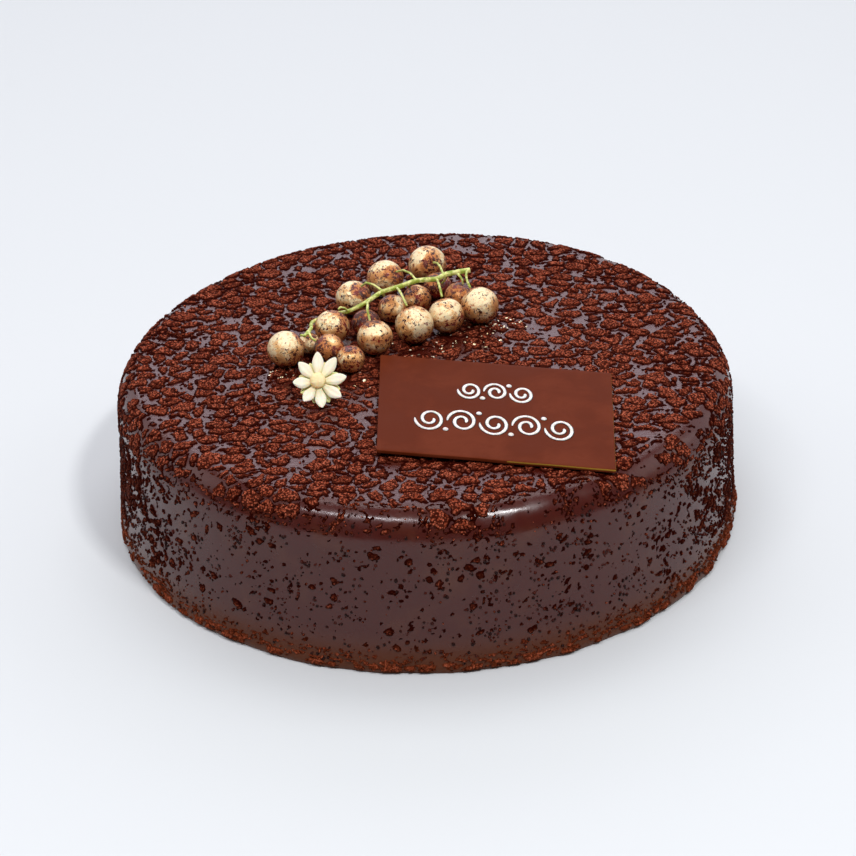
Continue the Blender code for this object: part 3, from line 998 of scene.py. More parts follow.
@dataclass
class CrumbCoat:
    """Crumbs sprayed on the glaze: lumps that gather into patches with bare channels between.

    A patch is a cell of a coarse mesh of cells, and its lumps are the cells of a fine one, which
    draw its outline in lobes. Single lumps lie in the channels and on the bare glaze.
    """

    form: CakeForm
    patch: float = 4.6 * MM  # size of a patch
    stretch: float = 0.78  # depth of a patch over its width
    lump: float = 0.95 * MM  # size of one lobe of a patch
    sink: float = 0.35 * MM  # how deep the coat dives under the glaze where it has a gap
    top_rise: float = 0.48 * MM  # height of a patch
    wall_rise: float = 0.42 * MM
    dome: float = 0.14 * MM  # how much higher a lobe is in its middle
    grain: float = 0.13 * MM
    grain_size: float = 0.7 * MM
    slope: float = 0.24 * MM  # width of a patch's flank
    pull: float = 0.36  # how far a place goes with the middle of its lobe
    fray_size: float = 0.8 * MM
    fray: float = 0.14 * MM  # how far a patch's outline wanders
    channel: tuple[float, float] = (0.26 * MM, 0.54 * MM)  # narrowest and widest channel
    channel_size: float = 13 * MM  # distance over which it changes
    shadow: float = 0.41 * MM  # width of the painted shadow along the edge of a patch
    stray: float = 0.08  # share of the lobes that lie alone
    hole: float = 0.04  # share that is missing from its patch
    top_cover: float = 0.985  # share of the patches that are there
    rim_cover: float = 0.84
    front_cover: float = 0.18
    flank_cover: float = 0.42
    back_flank: float = 0.7  # the back is covered as well as this share of a flank
    crowd_cover: float = 0.34  # how much more or less there is from place to place
    crowd_size: float = 11 * MM
    foot_cover: float = 0.75
    least_cover: float = 0.04
    flank_span: tuple[float, float] = (0.60, 0.93)  # share of the radius, sideways, where a flank comes in
    foot_span: tuple[float, float] = (9 * MM, 2 * MM)  # heights where the foot's crumbs come in
    rim_span: tuple[float, float] = (-1 * MM, 4.5 * MM)  # how far out of the flat top the rim comes in
    finer: tuple[float, float] = (0.7, 0.6)  # how much finer sparse patches are, and more on the right
    finer_reach: float = 60 * MM
    sparse_open: float = 0.6  # how much wider the channels are where patches are few
    tone_height: tuple[float, float] = (0.88, 0.24)  # height of a dark lobe, and what a pale one has more
    crown_reach: float = 0.35  # how far a lobe rises to its middle, over its size
    crease_reach: float = 0.3  # width of the painted shade round a lobe, over its size
    lobe_warp: tuple[float, float] = (1.1 * MM, 0.16)  # size and strength of the lobes' warp
    patch_warps: tuple[tuple[float, float], ...] = ((5 * MM, 0.30), (2.3 * MM, 0.10))
    shade_low: float = 0.66  # light in the creases between the lobes
    split: float = 7.0 * MM  # how far below the flat top the wall's crumbs start
    backing: float = 2.5 * MM  # how far the closed back lies under the glaze
    top_rings: int = 176
    wall_columns: int = 1000
    wall_rows: int = 84
    # bare stretches of the rim: direction, half the spread, and the share that is missing
    bare: tuple[tuple[float, float, float], ...] = ((-72, 8, 0.9), (-61, 4, 0.8), (-98, 10, 0.55))

    def cover(self, point: Vector) -> float:
        """Share of the patches that are there at a place.

        Args:
            point: The place.

        Returns:
            A share from 0 to 1.
        """
        form = self.form
        across = math.hypot(point.x, point.y)
        angle = math.degrees(math.atan2(point.y, point.x))
        flank = smoothstep(*self.flank_span, abs(point.x) / max(across, MM))
        if point.y > 0:
            flank = max(flank, self.back_flank)
        crowd = noise.noise(point / self.crowd_size + Vector((2, 4, 1)))
        wall = self.front_cover + self.flank_cover * flank + self.crowd_cover * crowd
        wall = max(wall, self.least_cover)
        wall += (self.foot_cover - wall) * smoothstep(*self.foot_span, point.z)
        near, far = self.rim_span
        on_rim = smoothstep(form.flat + near, form.flat + far, across) * (point.z > form.wall_top)
        upper = smoothstep(form.wall_top, form.height - 0.3 * form.rim_fall, point.z)
        share = wall + (self.top_cover + (self.rim_cover - self.top_cover) * on_rim - wall) * upper
        for middle, spread, depth in self.bare:
            off = abs((angle - middle + 180) % 360 - 180)
            share *= 1 - depth * smoothstep(spread, 0.4 * spread, off) * on_rim
        return share

    def lift(self, point: Vector, rise: float) -> tuple[float, float, float]:
        """How far the coat lies over the bare glaze.

        Args:
            point: Place on the bare glaze.
            rise: Height of a patch there.

        Returns:
            The height, under 0 where the coat has a gap; the lump's tone; and the share of painted
            light, from 0 to 1, low in the painted shadow along a patch's edge and between its lobes.
        """
        size, strength = self.lobe_warp
        spot = point / self.lump + noise.noise_vector(point / size) * strength
        distances, seeds = noise.voronoi(spot)
        own = (distances[1] - distances[0]) * self.lump / 2
        draw, tone = chance(seeds[0]), chance(seeds[0] + Vector((1, 2, 3)))
        pulled = point + (seeds[0] - spot) * self.lump * self.pull
        share = self.cover(pulled)
        least, more = self.finer
        fine = least + more * smoothstep(-self.finer_reach, self.finer_reach, point.x)
        small = 1 + fine * smoothstep(0.8, 0.3, share)
        slow, quick = (noise.noise_vector(point / size) * strength for size, strength in self.patch_warps)
        warp = slow + quick
        coarse = Vector((pulled.x * self.stretch, pulled.y, pulled.z)) / self.patch * small + warp
        spans, middles = noise.voronoi(coarse)
        open_share = 0.5 + 0.5 * noise.noise(point / self.channel_size) + self.sparse_open * (1 - share)
        width = self.channel[0] + (self.channel[1] - self.channel[0]) * open_share
        edge = (spans[1] - spans[0]) * self.patch / small / 2 - width / 2
        edge += self.fray * noise.noise(point / self.fray_size)
        if chance(middles[0]) >= share:
            edge = -self.slope
        if draw > 1 - self.stray * (0.5 + share):
            edge = max(edge, own)
        if draw < self.hole:
            edge = min(edge, 0.4 * self.slope)
        if edge <= 0:
            return -self.sink * smoothstep(0, self.slope, -edge), tone, 0.0
        crown = self.dome * smoothstep(0, self.crown_reach * self.lump, own)
        grain = self.grain * noise.noise(point / self.grain_size)
        dark, pale = self.tone_height
        height = (rise * (dark + pale * tone) + crown + grain) * smoothstep(0, self.slope, edge)
        # Painted shade: the share of painted light drops in the creases between lobes and along a patch's
        # edge.
        lobe = self.shade_low + (1 - self.shade_low) * smoothstep(0, self.crease_reach * self.lump, own)
        painted_light_share = min(smoothstep(0, self.shadow, edge), lobe)
        return height, tone, painted_light_share

    def drape(self, bm: Shape, placed: Iterable, rise: float) -> None:
        """Move vertices onto the crumbs and store their tone and their share of painted light.

        Args:
            bm: The bmesh.
            placed: Each vertex with its distance down the profile and its angle.
            rise: Height of a patch.
        """
        tones, painted_light_layer = layer(bm, "tone"), layer(bm, "rise")
        for vertex, along, angle in placed:
            point, out = self.form.at(along, angle)
            lift, tone, painted_light_share = self.lift(point, rise)
            vertex.co = point + out * lift
            vertex[tones] = tone
            vertex[painted_light_layer] = painted_light_share

    def back(self, near: Vector, along: float) -> Vector:
        """A point of the coat's closed back, under the glaze.

        Args:
            near: A place in the same direction from the middle.
            along: Distance of the point down the profile.

        Returns:
            The point.
        """
        point, out = self.form.at(along, math.atan2(near.y, near.x))
        return point - out * self.backing

    def build_top(self, finish: Material) -> Piece:
        """Make the crumbs of the top and the upper rim, closed under the glaze.

        Args:
            finish: The crumbs' material.

        Returns:
            The piece.
        """
        end = self.form.flat + self.split
        bm = new_shape("tone", "rise")
        placed = [(v, ring * end, angle) for v, ring, angle in disc_lattice(bm, self.top_rings)]
        self.drape(bm, placed, self.top_rise)
        rim = extend(bm, rim_of(bm), lambda old: self.back(old, end))
        bmesh.ops.contextual_create(bm, geom=rim)
        return make_piece("crumbs_top", bm, [finish])

    def build_wall(self, finish: Material) -> Piece:
        """Make the crumbs of the wall, a closed band that starts where the top's end.

        Args:
            finish: The crumbs' material.

        Returns:
            The piece.
        """
        start = self.form.flat + self.split
        end = self.form.length
        bm = new_shape("tone", "rise")
        bmesh.ops.create_grid(bm, x_segments=self.wall_columns, y_segments=self.wall_rows, size=1)
        placed = []
        for vertex in bm.verts:
            angle = (vertex.co.x + 1) * math.pi
            along = start + (end - start) * (1 - vertex.co.y) / 2
            placed.append((vertex, along, angle))
        self.drape(bm, placed, self.wall_rise)
        bmesh.ops.remove_doubles(bm, verts=bm.verts, dist=MM / 1000)
        middle = self.form.height / 2
        rims = extend(bm, rim_of(bm), lambda old: self.back(old, start if old.z > middle else end))
        bmesh.ops.bridge_loops(bm, edges=rims)
        return make_piece("crumbs_wall", bm, [finish])


@dataclass
class GlazeSpecks:
    """Tiny drops of hardened glaze in clusters on the wall."""

    form: CakeForm
    count: int = 3600
    sizes: tuple[float, float] = (0.18 * MM, 0.55 * MM)
    start: float = 0.55
    cluster: float = 6.0 * MM
    fray: float = 2.0 * MM
    fray_share: float = 0.4
    crowding: tuple[float, float] = (-0.3, 0.5)  # least crowd that keeps a drop, drawn between these
    flat: float = 0.6
    sunk: float = 0.15
    seed: int = 4

    def build(self, finish: Material) -> Piece:
        """Make the drops as one piece.

        Args:
            finish: Their material.

        Returns:
            The piece.
        """
        draw = random.Random(self.seed)
        form = self.form
        start = form.flat + self.start * form.arc
        places = []
        while len(places) < self.count:
            along = draw.uniform(start, form.length - MM)
            point, out = form.at(along, draw.uniform(0, 2 * math.pi))
            crowd = noise.noise(point / self.cluster) + self.fray_share * noise.noise(point / self.fray)
            if crowd < draw.uniform(*self.crowding):
                continue
            size = draw.uniform(*self.sizes)
            flat = Matrix.Diagonal((size, size * draw.uniform(0.7, 1.3), size * self.flat, 1))
            turn = Matrix.Rotation(draw.uniform(0, 2 * math.pi), 4, "Z")
            stand = out.to_track_quat("Z", "Y").to_matrix().to_4x4()
            places.append(Matrix.Translation(point + out * size * self.sunk) @ stand @ turn @ flat)
        bm = bmesh.new()
        scatter(bm, places)
        return make_piece("glaze_specks", bm, [finish])


@dataclass
class LooseCrumbs:
    """Single crumbs that lie on the bare glaze."""

    coat: CrumbCoat
    count: int = 1600
    sizes: tuple[float, float] = (0.18 * MM, 0.50 * MM)
    on_top: float = 0.35  # share that lies on the flat top
    reach: float = 0.42  # how far down the profile the others lie, over its length
    bunching: float = 0.8
    float_share: float = 0.3  # height of a crumb's middle over the glaze, over its size
    roughness: float = 0.4
    seed: int = 7

    def build(self, finish: Material) -> Piece:
        """Make the crumbs as one piece.

        Args:
            finish: The crumbs' material.

        Returns:
            The piece.
        """
        draw = random.Random(self.seed)
        form = self.coat.form
        places = []
        for _ in range(self.count):
            along = form.flat + form.length * draw.random() ** self.bunching * self.reach
            if draw.random() < self.on_top:
                along = form.flat * math.sqrt(draw.random())
            point, out = form.at(min(along, form.length - 2 * MM), draw.random() * 2 * math.pi)
            size = draw.uniform(*self.sizes)
            tip = Matrix.Rotation(draw.random() * math.pi, 4, "X")
            turn = tip @ Matrix.Rotation(draw.random() * math.pi, 4, "Z")
            depth, height = size * draw.uniform(0.6, 1.0), size * draw.uniform(0.5, 0.9)
            stretch = Matrix.Diagonal((size, depth, height, 1))
            places.append(Matrix.Translation(point + out * size * self.float_share) @ turn @ stretch)
        bm = new_shape("tone", "rise")
        points = scatter(bm, places)
        tones, painted_light_layer = layer(bm, "tone"), layer(bm, "rise")
        shades = [draw.random() for _ in places]
        for index, vertex in enumerate(bm.verts):
            vertex.co += noise.noise_vector(vertex.co / (0.4 * MM)) * self.sizes[0] * self.roughness
            vertex[tones] = shades[index // points]
            # Loose crumbs take full painted light, with no painted shade.
            vertex[painted_light_layer] = 1.0
        return make_piece("crumbs_loose", bm, [finish])


class Icing(Enum):
    """The two materials of the piping, by their number on its mesh."""

    WHITE = 0
    SHADOW = 1


@dataclass
class Plaque:
    """A thin slab of milk chocolate with rows of piped spirals and pearls."""

    width: float = 64.1 * MM
    depth: float = 52.3 * MM
    thickness: float = 1.0 * MM
    bevel: float = 0.15 * MM
    lean: float = 0.9 * MM  # how far the left end is cut out of square
    middle: tuple[float, float] = (18.95 * MM, -36.1 * MM)
    yaw: float = -3.0
    roll: float = -1.2
    tilt: float = 0.6
    skew: float = 7.5
    lift: float = 48.5 * MM  # height of the middle of its underside
    line: float = 0.47 * MM  # half the width of a piped line
    line_height: float = 0.62  # height of a line over its width
    shadow_width: float = 0.66 * MM  # half the width of the painted shadow line under it
    turns: float = 1.55
    core: float = 0.24  # inner radius of a spiral over its outer one
    space: float = 0.6 * MM  # between two spirals
    stretch: float = 1.5
    # rows of spirals: number, radius of each, and the first one's middle across and back
    rows: tuple = ((3, 3.3 * MM, -7.2 * MM, 9.8 * MM), (5, 4.1 * MM, -17.6 * MM, -7.6 * MM))
    pearl: float = 0.78 * MM
    pearl_off: float = 0.8  # distance of a pearl from its row over half the depth of a spiral
    shadow_height: float = 0.16
    pearl_shadow: tuple[float, float] = (1.2, 0.12)  # width and height of its painted shadow over the pearl's
    press: float = 0.10  # how much a line's width varies
    press_size: float = 1.6 * MM
    wave: float = 0.10 * MM
    wave_size: float = 14 * MM
    edge_band: float = 0.05 * MM
    steps: int = 54
    sides: int = 10
    cells: tuple[int, int] = (48, 40)

    def frame(self) -> Matrix:
        """The place of the slab.

        Returns:
            What brings its width, depth and height to the cake's own axes.
        """
        yaw = Matrix.Rotation(math.radians(self.yaw), 3, "Z")
        roll, tilt = math.radians(self.roll), math.radians(self.tilt)
        across = yaw @ Vector((math.cos(roll), 0, math.sin(roll)))
        back = yaw @ Vector((0, math.cos(tilt), math.sin(tilt)))
        up = across.cross(back).normalized()
        across -= back * math.tan(math.radians(self.skew))
        axes = Matrix((across, back, up)).transposed().to_4x4()
        return Matrix.Translation((*self.middle, self.lift)) @ axes

    def build_slab(self, finish: Material) -> Piece:
        """Make the slab.

        Args:
            finish: The milk chocolate.

        Returns:
            The piece, which stands for the CAD node of the plaque.
        """
        bm = new_shape("right_edge")
        half = Vector((self.width / 2, self.depth / 2))
        bmesh.ops.create_grid(bm, x_segments=self.cells[0], y_segments=self.cells[1], size=1)
        for vertex in bm.verts:
            back = vertex.co.y * half.y
            left = self.lean * vertex.co.y * max(-vertex.co.x, 0)
            vertex.co = (vertex.co.x * half.x - left, back, 0)
        grown = bmesh.ops.extrude_face_region(bm, geom=list(bm.faces))["geom"]
        bmesh.ops.translate(bm, verts=points_of(grown), vec=(0, 0, self.thickness))
        bmesh.ops.recalc_face_normals(bm, faces=bm.faces)
        corners = [e for e in bm.edges if e.calc_face_angle(0) > math.radians(60)]
        bmesh.ops.bevel(
            bm, geom=corners, offset=self.bevel, segments=3, affect="EDGES", profile=0.5, material=-1
        )
        mark = layer(bm, "right_edge")
        place = self.frame()
        for vertex in bm.verts:
            at_right = vertex.co.x > half.x - self.edge_band
            at_front = vertex.co.y < -half.y + self.edge_band and vertex.co.x > 0.1 * half.x
            vertex[mark] = float((at_right or at_front) and vertex.co.z > 0.5 * self.thickness)
            spot = Vector((vertex.co.x, vertex.co.y, 0))
            vertex.co.z += noise.noise(spot / self.wave_size) * self.wave
        bmesh.ops.transform(bm, matrix=place, verts=bm.verts)
        return make_piece("plaque_slab", bm, [finish], ["plaque"], sharp=60)

    def spiral(self, middle: Vector, radius: float, mirror: int) -> list[Vector]:
        """Middle line of one spiral, on the slab's face.

        Args:
            middle: Middle of the spiral.
            radius: Half its width.
            mirror: 1 or -1, for one that turns over or under first.

        Returns:
            Its points.
        """
        points = []
        for step in range(self.steps + 1):
            share = step / self.steps
            reach = radius * (1 - (1 - self.core) * share)
            angle = math.pi * (1 - 2 * self.turns * share)
            back = mirror * self.stretch * reach * math.sin(angle)
            points.append(middle + Vector((reach * math.cos(angle), back, 0)))
        return points

    def stroke(
        self, bm: Shape, points: list[Vector], radius: float, flat: float, icing: Icing
    ) -> None:
        """Pipe one line with a round start and end.

        Args:
            bm: The bmesh that takes it.
            points: Middle line on the slab's face.
            radius: Half its width.
            flat: Height over width.
            icing: Its material.
        """
        count = len(points) - 1
        radii = []
        for step in range(count + 1):
            end = min(step, count - step) / 3
            press = 1 + self.press * noise.noise(points[step] / self.press_size)
            radii.append(radius * press * math.sqrt(min(1.0, 0.16 + end)))
        before = set(bm.faces)
        sweep(bm, points, radii, self.sides, flat)
        for face in set(bm.faces) - before:
            face.material_index = icing.value

    def drop(self, bm: Shape, middle: Vector) -> None:
        """Pipe one pearl on a dark disc of painted shadow.

        Args:
            bm: The bmesh that takes it.
            middle: Its middle on the slab's face.
        """
        place = Matrix.Translation(middle)
        squash = Matrix.Diagonal((1, 1, self.line_height, 1))
        bmesh.ops.create_icosphere(bm, subdivisions=3, radius=self.pearl, matrix=place @ squash)
        # Painted shadow: a wide, flat dark disc under the pearl.
        width, height = self.pearl_shadow
        wide = Matrix.Diagonal((width, width, height, 1))
        before = set(bm.faces)
        bmesh.ops.create_icosphere(bm, subdivisions=2, radius=self.pearl, matrix=place @ wide)
        for face in set(bm.faces) - before:
            face.material_index = Icing.SHADOW.value

    def build_piping(self, icing: Material, rim: Material) -> Piece:
        """Make the piped ornament.

        Args:
            icing: The white icing.
            rim: The painted shadow round it.

        Returns:
            The piece.
        """
        bm = bmesh.new()
        face = self.thickness
        for count, radius, first, line in self.rows:
            pitch = 2 * radius + self.space
            for number in range(count):
                mirror = 1 if number % 2 else -1
                middle = Vector((first + pitch * number, line, face))
                points = self.spiral(middle, radius, mirror)
                self.stroke(bm, points, self.line, self.line_height, Icing.WHITE)
                # Painted shadow: a wider, low dark line under the spiral.
                self.stroke(bm, points, self.shadow_width, self.shadow_height, Icing.SHADOW)
                if number:
                    back = -mirror * radius * self.stretch * self.pearl_off
                    self.drop(bm, middle + Vector((-pitch / 2, back, 0)))
        bmesh.ops.transform(bm, matrix=self.frame(), verts=bm.verts)
        return make_piece("plaque_piping", bm, [icing, rim])


@dataclass
class CurrantCluster:
    """Gilded currants on their stem."""

    squash: float = 0.97  # height over width
    # share of leaf on the currants that have less than the usual, by their number
    gilding: dict[int, float] = field(
        default_factory=lambda: {3: 0.42, 4: 0.62, 5: 0.62, 7: 0.20, 9: 0.60, 12: 0.58, 15: 0.15, 16: 0.50}
    )
    usual_gilding: float = 0.80
    painted_light_tilt: tuple[float, float] = (0.30, 0.06)  # painted light: more and paler leaf on the top and front, and less leaf and more copper below, as painted shade and reflection of the cake
    blots: float = 1.5  # blots of leaf, and dents of the skin, along a radius
    dents: float = 7.0
    stalk_span: tuple[float, float] = (0.72, 0.97)
    pit_start: float = 0.965
    bald: float = 0.55  # how much less leaf lies round the stalk
    blot: float = 0.45
    wrinkle: float = 0.05 * MM  # depth of the dents
    pit: float = 0.35 * MM  # depth of the pit that the stalk enters
    voxel: float = 0.16 * MM
    smoothing: int = 4
    ridge: float = 0.07 * MM
    ridge_size: float = 1.3 * MM
    swell: float = 0.03 * MM

    def stem_points(self) -> list[Vector]:
        """Points of the CAD stem."""
        return [v.co.copy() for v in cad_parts["stem"].data.vertices]

    def build_currant(
        self, name: str, number: int, finish: Material, stem: list[Vector]
    ) -> Piece:
        """Make one currant.

        Args:
            name: Its CAD node.
            number: Its number in the cluster.
            finish: Its skin.
            stem: Points of the stem, the nearest of which says where its stalk enters.

        Returns:
            The piece.
        """
        low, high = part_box(name)
        middle = (low + high) / 2
        radius = (high.z - low.z) / 2 / self.squash
        way = min(stem, key=lambda p: (p - middle).length) - middle
        way = way.normalized() if way.length < 2 * radius else Vector((0, 0, 1))
        bm = new_shape("gild_and_light")
        bmesh.ops.create_icosphere(bm, subdivisions=5, radius=radius)
        gild_and_light = layer(bm, "gild_and_light")
        share = self.gilding.get(number, self.usual_gilding)
        shift = Vector((number * 3.3, number * 1.7, 0))
        above, ahead = self.painted_light_tilt
        for vertex in bm.verts:
            out = vertex.co.normalized()
            near_stalk = smoothstep(*self.stalk_span, out.dot(way))
            # Painted light: more leaf above and in front, less underneath.
            painted_light_tilt = above * out.z - ahead * out.y - 0.35 * smoothstep(-0.25, -0.85, out.z - 0.3 * out.y)
            blot = self.blot * noise.noise(out * self.blots + shift)
            vertex[gild_and_light] = share + painted_light_tilt + blot - self.bald * near_stalk
            dent = noise.noise(out * self.dents + shift) * self.wrinkle
            pit = self.pit * smoothstep(self.pit_start, 1.0, out.dot(way))
            squashed = Vector((out.x, out.y, out.z * self.squash))
            vertex.co = middle + squashed * (radius + dent - pit)
        return make_piece(f"{name}_gilded", bm, [finish], [name])

    def build_stem(self, finish: Material) -> Piece:
        """Make the stem from the CAD stem: its faceted stalks grown together and smoothed.

        Args:
            finish: The stalk's material.

        Returns:
            The piece.
        """
        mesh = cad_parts["stem"].data.copy()
        piece = add_object("stem_smooth", mesh)
        bm = bmesh.new()
        bm.from_mesh(mesh)
        bmesh.ops.remove_doubles(bm, verts=bm.verts, dist=MM / 1000)
        bm.to_mesh(mesh)
        bm.free()
        grown = piece.modifiers.new("Grown", "REMESH")
        grown.mode = "VOXEL"
        grown.voxel_size = self.voxel
        soft = piece.modifiers.new("Soft", "SMOOTH")
        soft.iterations = self.smoothing
        depsgraph = bpy.context.evaluated_depsgraph_get()
        smooth = bpy.data.meshes.new_from_object(piece.evaluated_get(depsgraph))
        bpy.data.objects.remove(piece)
        bm = bmesh.new()
        bm.from_mesh(smooth)
        bm.normal_update()
        for vertex in bm.verts:
            ridge = noise.noise(vertex.co / self.ridge_size) * self.ridge
            vertex.co += vertex.normal * (ridge + self.swell)
        return make_piece("stem_smooth", bm, [finish], ["stem"])

    def build(self, skin: Material, stalk: Material) -> list[Piece]:
        """Make every currant and the stem.

        Args:
            skin: The currants' material.
            stalk: The stem's material.

        Returns:
            The pieces.
        """
        stem = self.stem_points()
        names = sorted(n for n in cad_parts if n.startswith("currant_"))
        made = [self.build_currant(n, int(n[-2:]), skin, stem) for n in names]
        made.append(self.build_stem(stalk))
        return made


@dataclass
class GoldScraps:
    """Loose scraps of gold leaf round the currants.

    A field of them has its middle, right and back, and its spread, all in millimetres, and a count.
    """

    coat: CrumbCoat
    fields: tuple = (
        (22.5, 17.0, 3.5, 26),
        (14.0, 10.5, 6.0, 22),
        (0.0, 2.5, 5.0, 16),
        (-38.0, -11.0, 5.0, 14),
        (-22.0, -15.5, 4.5, 12),
        (6.0, 22.0, 7.0, 14),
        (-12.0, 8.0, 6.0, 10),
    )
    sizes: tuple[float, float] = (0.14 * MM, 0.60 * MM)
    thickness: float = 0.12 * MM
    lift: float = 0.12 * MM
    crumple: float = 0.5
    narrow: float = 0.6  # spread from front to back over that across
    large: tuple[float, float] = (0.15, 1.4)  # share of larger scraps, and their size over the rest
    seed: int = 21

    def build(self, finish: Material) -> Piece:
        """Make the scraps as one piece.

        Args:
            finish: The gold leaf.

        Returns:
            The piece.
        """
        draw = random.Random(self.seed)
        share, growth = self.large
        places = []
        for across, back, spread, count in self.fields:
            for _ in range(count):
                right = draw.gauss(across, spread)
                place = Vector((right, draw.gauss(back, spread * self.narrow), 0)) * MM
                point, _ = self.coat.form.at(place.length, math.atan2(place.y, place.x))
                lift = self.coat.lift(point, self.coat.top_rise)[0]
                size = draw.uniform(*self.sizes) * (growth if draw.random() < share else 1.0)
                turn = Matrix.Rotation(draw.random() * 2 * math.pi, 4, "Z")
                lean = Matrix.Rotation(draw.uniform(-0.6, 0.6), 4, "X")
                shape = Matrix.Diagonal((size, size * draw.uniform(0.4, 0.9), self.thickness, 1))
                lifted = point + Vector((0, 0, max(lift, 0) + self.lift))
                places.append(Matrix.Translation(lifted) @ turn @ lean @ shape)
        bm = bmesh.new()
        scatter(bm, places, subdivisions=2)
        for vertex in bm.verts:
            vertex.co += noise.noise_vector(vertex.co / (0.5 * MM)) * self.sizes[0] * self.crumple
        return make_piece("gold_scraps", bm, [finish], sharp=45)


@dataclass
class Daisy:
    """A small sugar daisy: a ring of grooved petals, a ring of leaves behind and a domed middle.

    Each petal has its direction in degrees and its reach in millimetres.
    """

    centre: tuple[float, float, float] = (-29.4 * MM, -23.4 * MM, 52.9 * MM)
    lean: float = 38.0  # how far its face turns from straight up to the front
    stretch: float = 1.08  # length up and down over width
    petals: tuple[tuple[float, float], ...] = (
        (6, 7.9), (51, 8.0), (90, 8.0), (135, 7.4), (183, 6.9), (235, 6.9), (278, 7.6), (323, 7.9)
    )
    reach: float = 8.0 * MM
    width: float = 3.3 * MM
    thickness: float = 0.85 * MM
    cup: float = 0.9 * MM  # how far the tips stand forward
    groove: float = 0.22 * MM
    hub: float = 2.3 * MM
    leaf_reach: float = 6.3 * MM
    leaf_width: float = 2.7 * MM
    leaf_turn: float = 22.0  # from each petal to the leaf behind it
    back_drop: float = 1.6 * MM
    front_hub: tuple[float, float] = (-0.45 * MM, 0.45 * MM)
    back_hub: tuple[float, float] = (-2.4 * MM, -0.8 * MM)
    dome_lift: float = 0.8 * MM
    dome_radius: float = 2.15 * MM
    dome_height: float = 1.5 * MM
    rows: int = 14
    columns: int = 8

    def frame(self) -> Matrix:
        """The daisy's own plane, its face along +Z, to its place on the cake."""
        lean = Matrix.Rotation(math.radians(self.lean), 4, "X")
        return Matrix.Translation(self.centre) @ lean @ Matrix.Diagonal((1, self.stretch, 1, 1))

    @staticmethod
    def outline(share: float) -> float:
        """Width of a petal along its length.

        Args:
            share: Share of its length, from the middle of the daisy.

        Returns:
            Its width over its full width.
        """
        swell = 0.40 + 0.60 * smoothstep(0.05, 0.60, share)
        tip = max((share - 0.58) / 0.42, 0.0)
        return swell * max(1 - tip**1.7, 0.0) ** 0.8 + 0.10 * tip

    def petal(
        self, bm: Shape, degrees: float, reach: float, width: float, cup: float, drop: float
    ) -> None:
        """Add one closed petal.

        Args:
            bm: The bmesh that takes it.
            degrees: Its direction.
            reach: Distance of its tip from the middle.
            width: Its greatest width.
            cup: How far its tip stands forward.
            drop: How far it lies behind the daisy's plane.
        """
        along_layer = layer(bm, "along")
        start = self.hub * 0.4
        made = bmesh.ops.create_grid(bm, x_segments=self.rows, y_segments=self.columns, size=1)["verts"]
        faces = list(dict.fromkeys(f for v in made for f in v.link_faces))
        grown = bmesh.ops.extrude_face_region(bm, geom=faces)["geom"]
        upper = set(points_of(grown))
        turn = Matrix.Rotation(math.radians(degrees), 3, "Z")
        wave = noise.noise(Vector((degrees, 0.3, 0.7))) * 0.35 * MM
        for vertex in set(made) | upper:
            share, part = math.sin((vertex.co.x + 1) * math.pi / 4), vertex.co.y
            across = width / 2 * self.outline(share) * part
            x = start + (reach - start) * share
            z = cup * share**2 + wave * share * part - drop
            z -= self.groove * (math.cos(part * math.pi * 2.2) * 0.5 + 0.5) * math.sin(math.pi * share)
            side = 1 if vertex in upper else -1
            edge = math.sqrt(max(1 - abs(part) ** 3, 0.05)) * math.sqrt(max(1 - share**8, 0.08))
            z += side * self.thickness / 2 * edge
            vertex.co = turn @ Vector((x, across, z))
            vertex[along_layer] = share

    def finish_ring(
        self, name: str, bm: Shape, finish: Material, node: str
    ) -> Piece:
        """Place a ring of petals on the cake and round it off.

        Args:
            name: Name of the piece.
            bm: Its shape in the daisy's plane.
            finish: Its material.
            node: The CAD node that it stands for.

        Returns:
            The piece.
        """
        bmesh.ops.transform(bm, matrix=self.frame(), verts=bm.verts)
        piece = make_piece(name, bm, [finish], [node])
        round_off = piece.modifiers.new("Round", "SUBSURF")
        round_off.levels = round_off.render_levels = 1
        return piece

    def add_hub(self, bm: Shape, low: float, high: float) -> None:
        """Add the short disc that the petals grow from.

        Args:
            bm: The bmesh that takes it.
            low: Its underside.
            high: Its top.
        """
        place = Matrix.Translation((0, 0, (low + high) / 2))
        bmesh.ops.create_cone(
            bm,
            cap_ends=True,
            segments=24,
            radius1=self.hub * 0.95,
            radius2=self.hub * 0.85,
            depth=high - low,
            matrix=place,
        )

    def build(
        self, ivory: Material, green: Material, yellow: Material
    ) -> list[Piece]:
        """Make the daisy.

        Args:
            ivory: Material of the petals.
            green: Material of the leaves behind.
            yellow: Material of the dome.

        Returns:
            The pieces.
        """
        bm = new_shape("along")
        for degrees, length in self.petals:
            self.petal(bm, degrees, length * MM, self.width, self.cup, 0.0)
        self.add_hub(bm, *self.front_hub)
        front = self.finish_ring("daisy_petals_grooved", bm, ivory, "daisy_petals")
        bm = new_shape("along")
        for degrees, length in self.petals:
            reach = self.leaf_reach * length * MM / self.reach
            self.petal(bm, degrees + self.leaf_turn, reach, self.leaf_width, 0.0, self.back_drop)
        self.add_hub(bm, *self.back_hub)
        back = self.finish_ring("daisy_leaves", bm, green, "daisy_back")
        return [front, back, self.build_dome(yellow)]

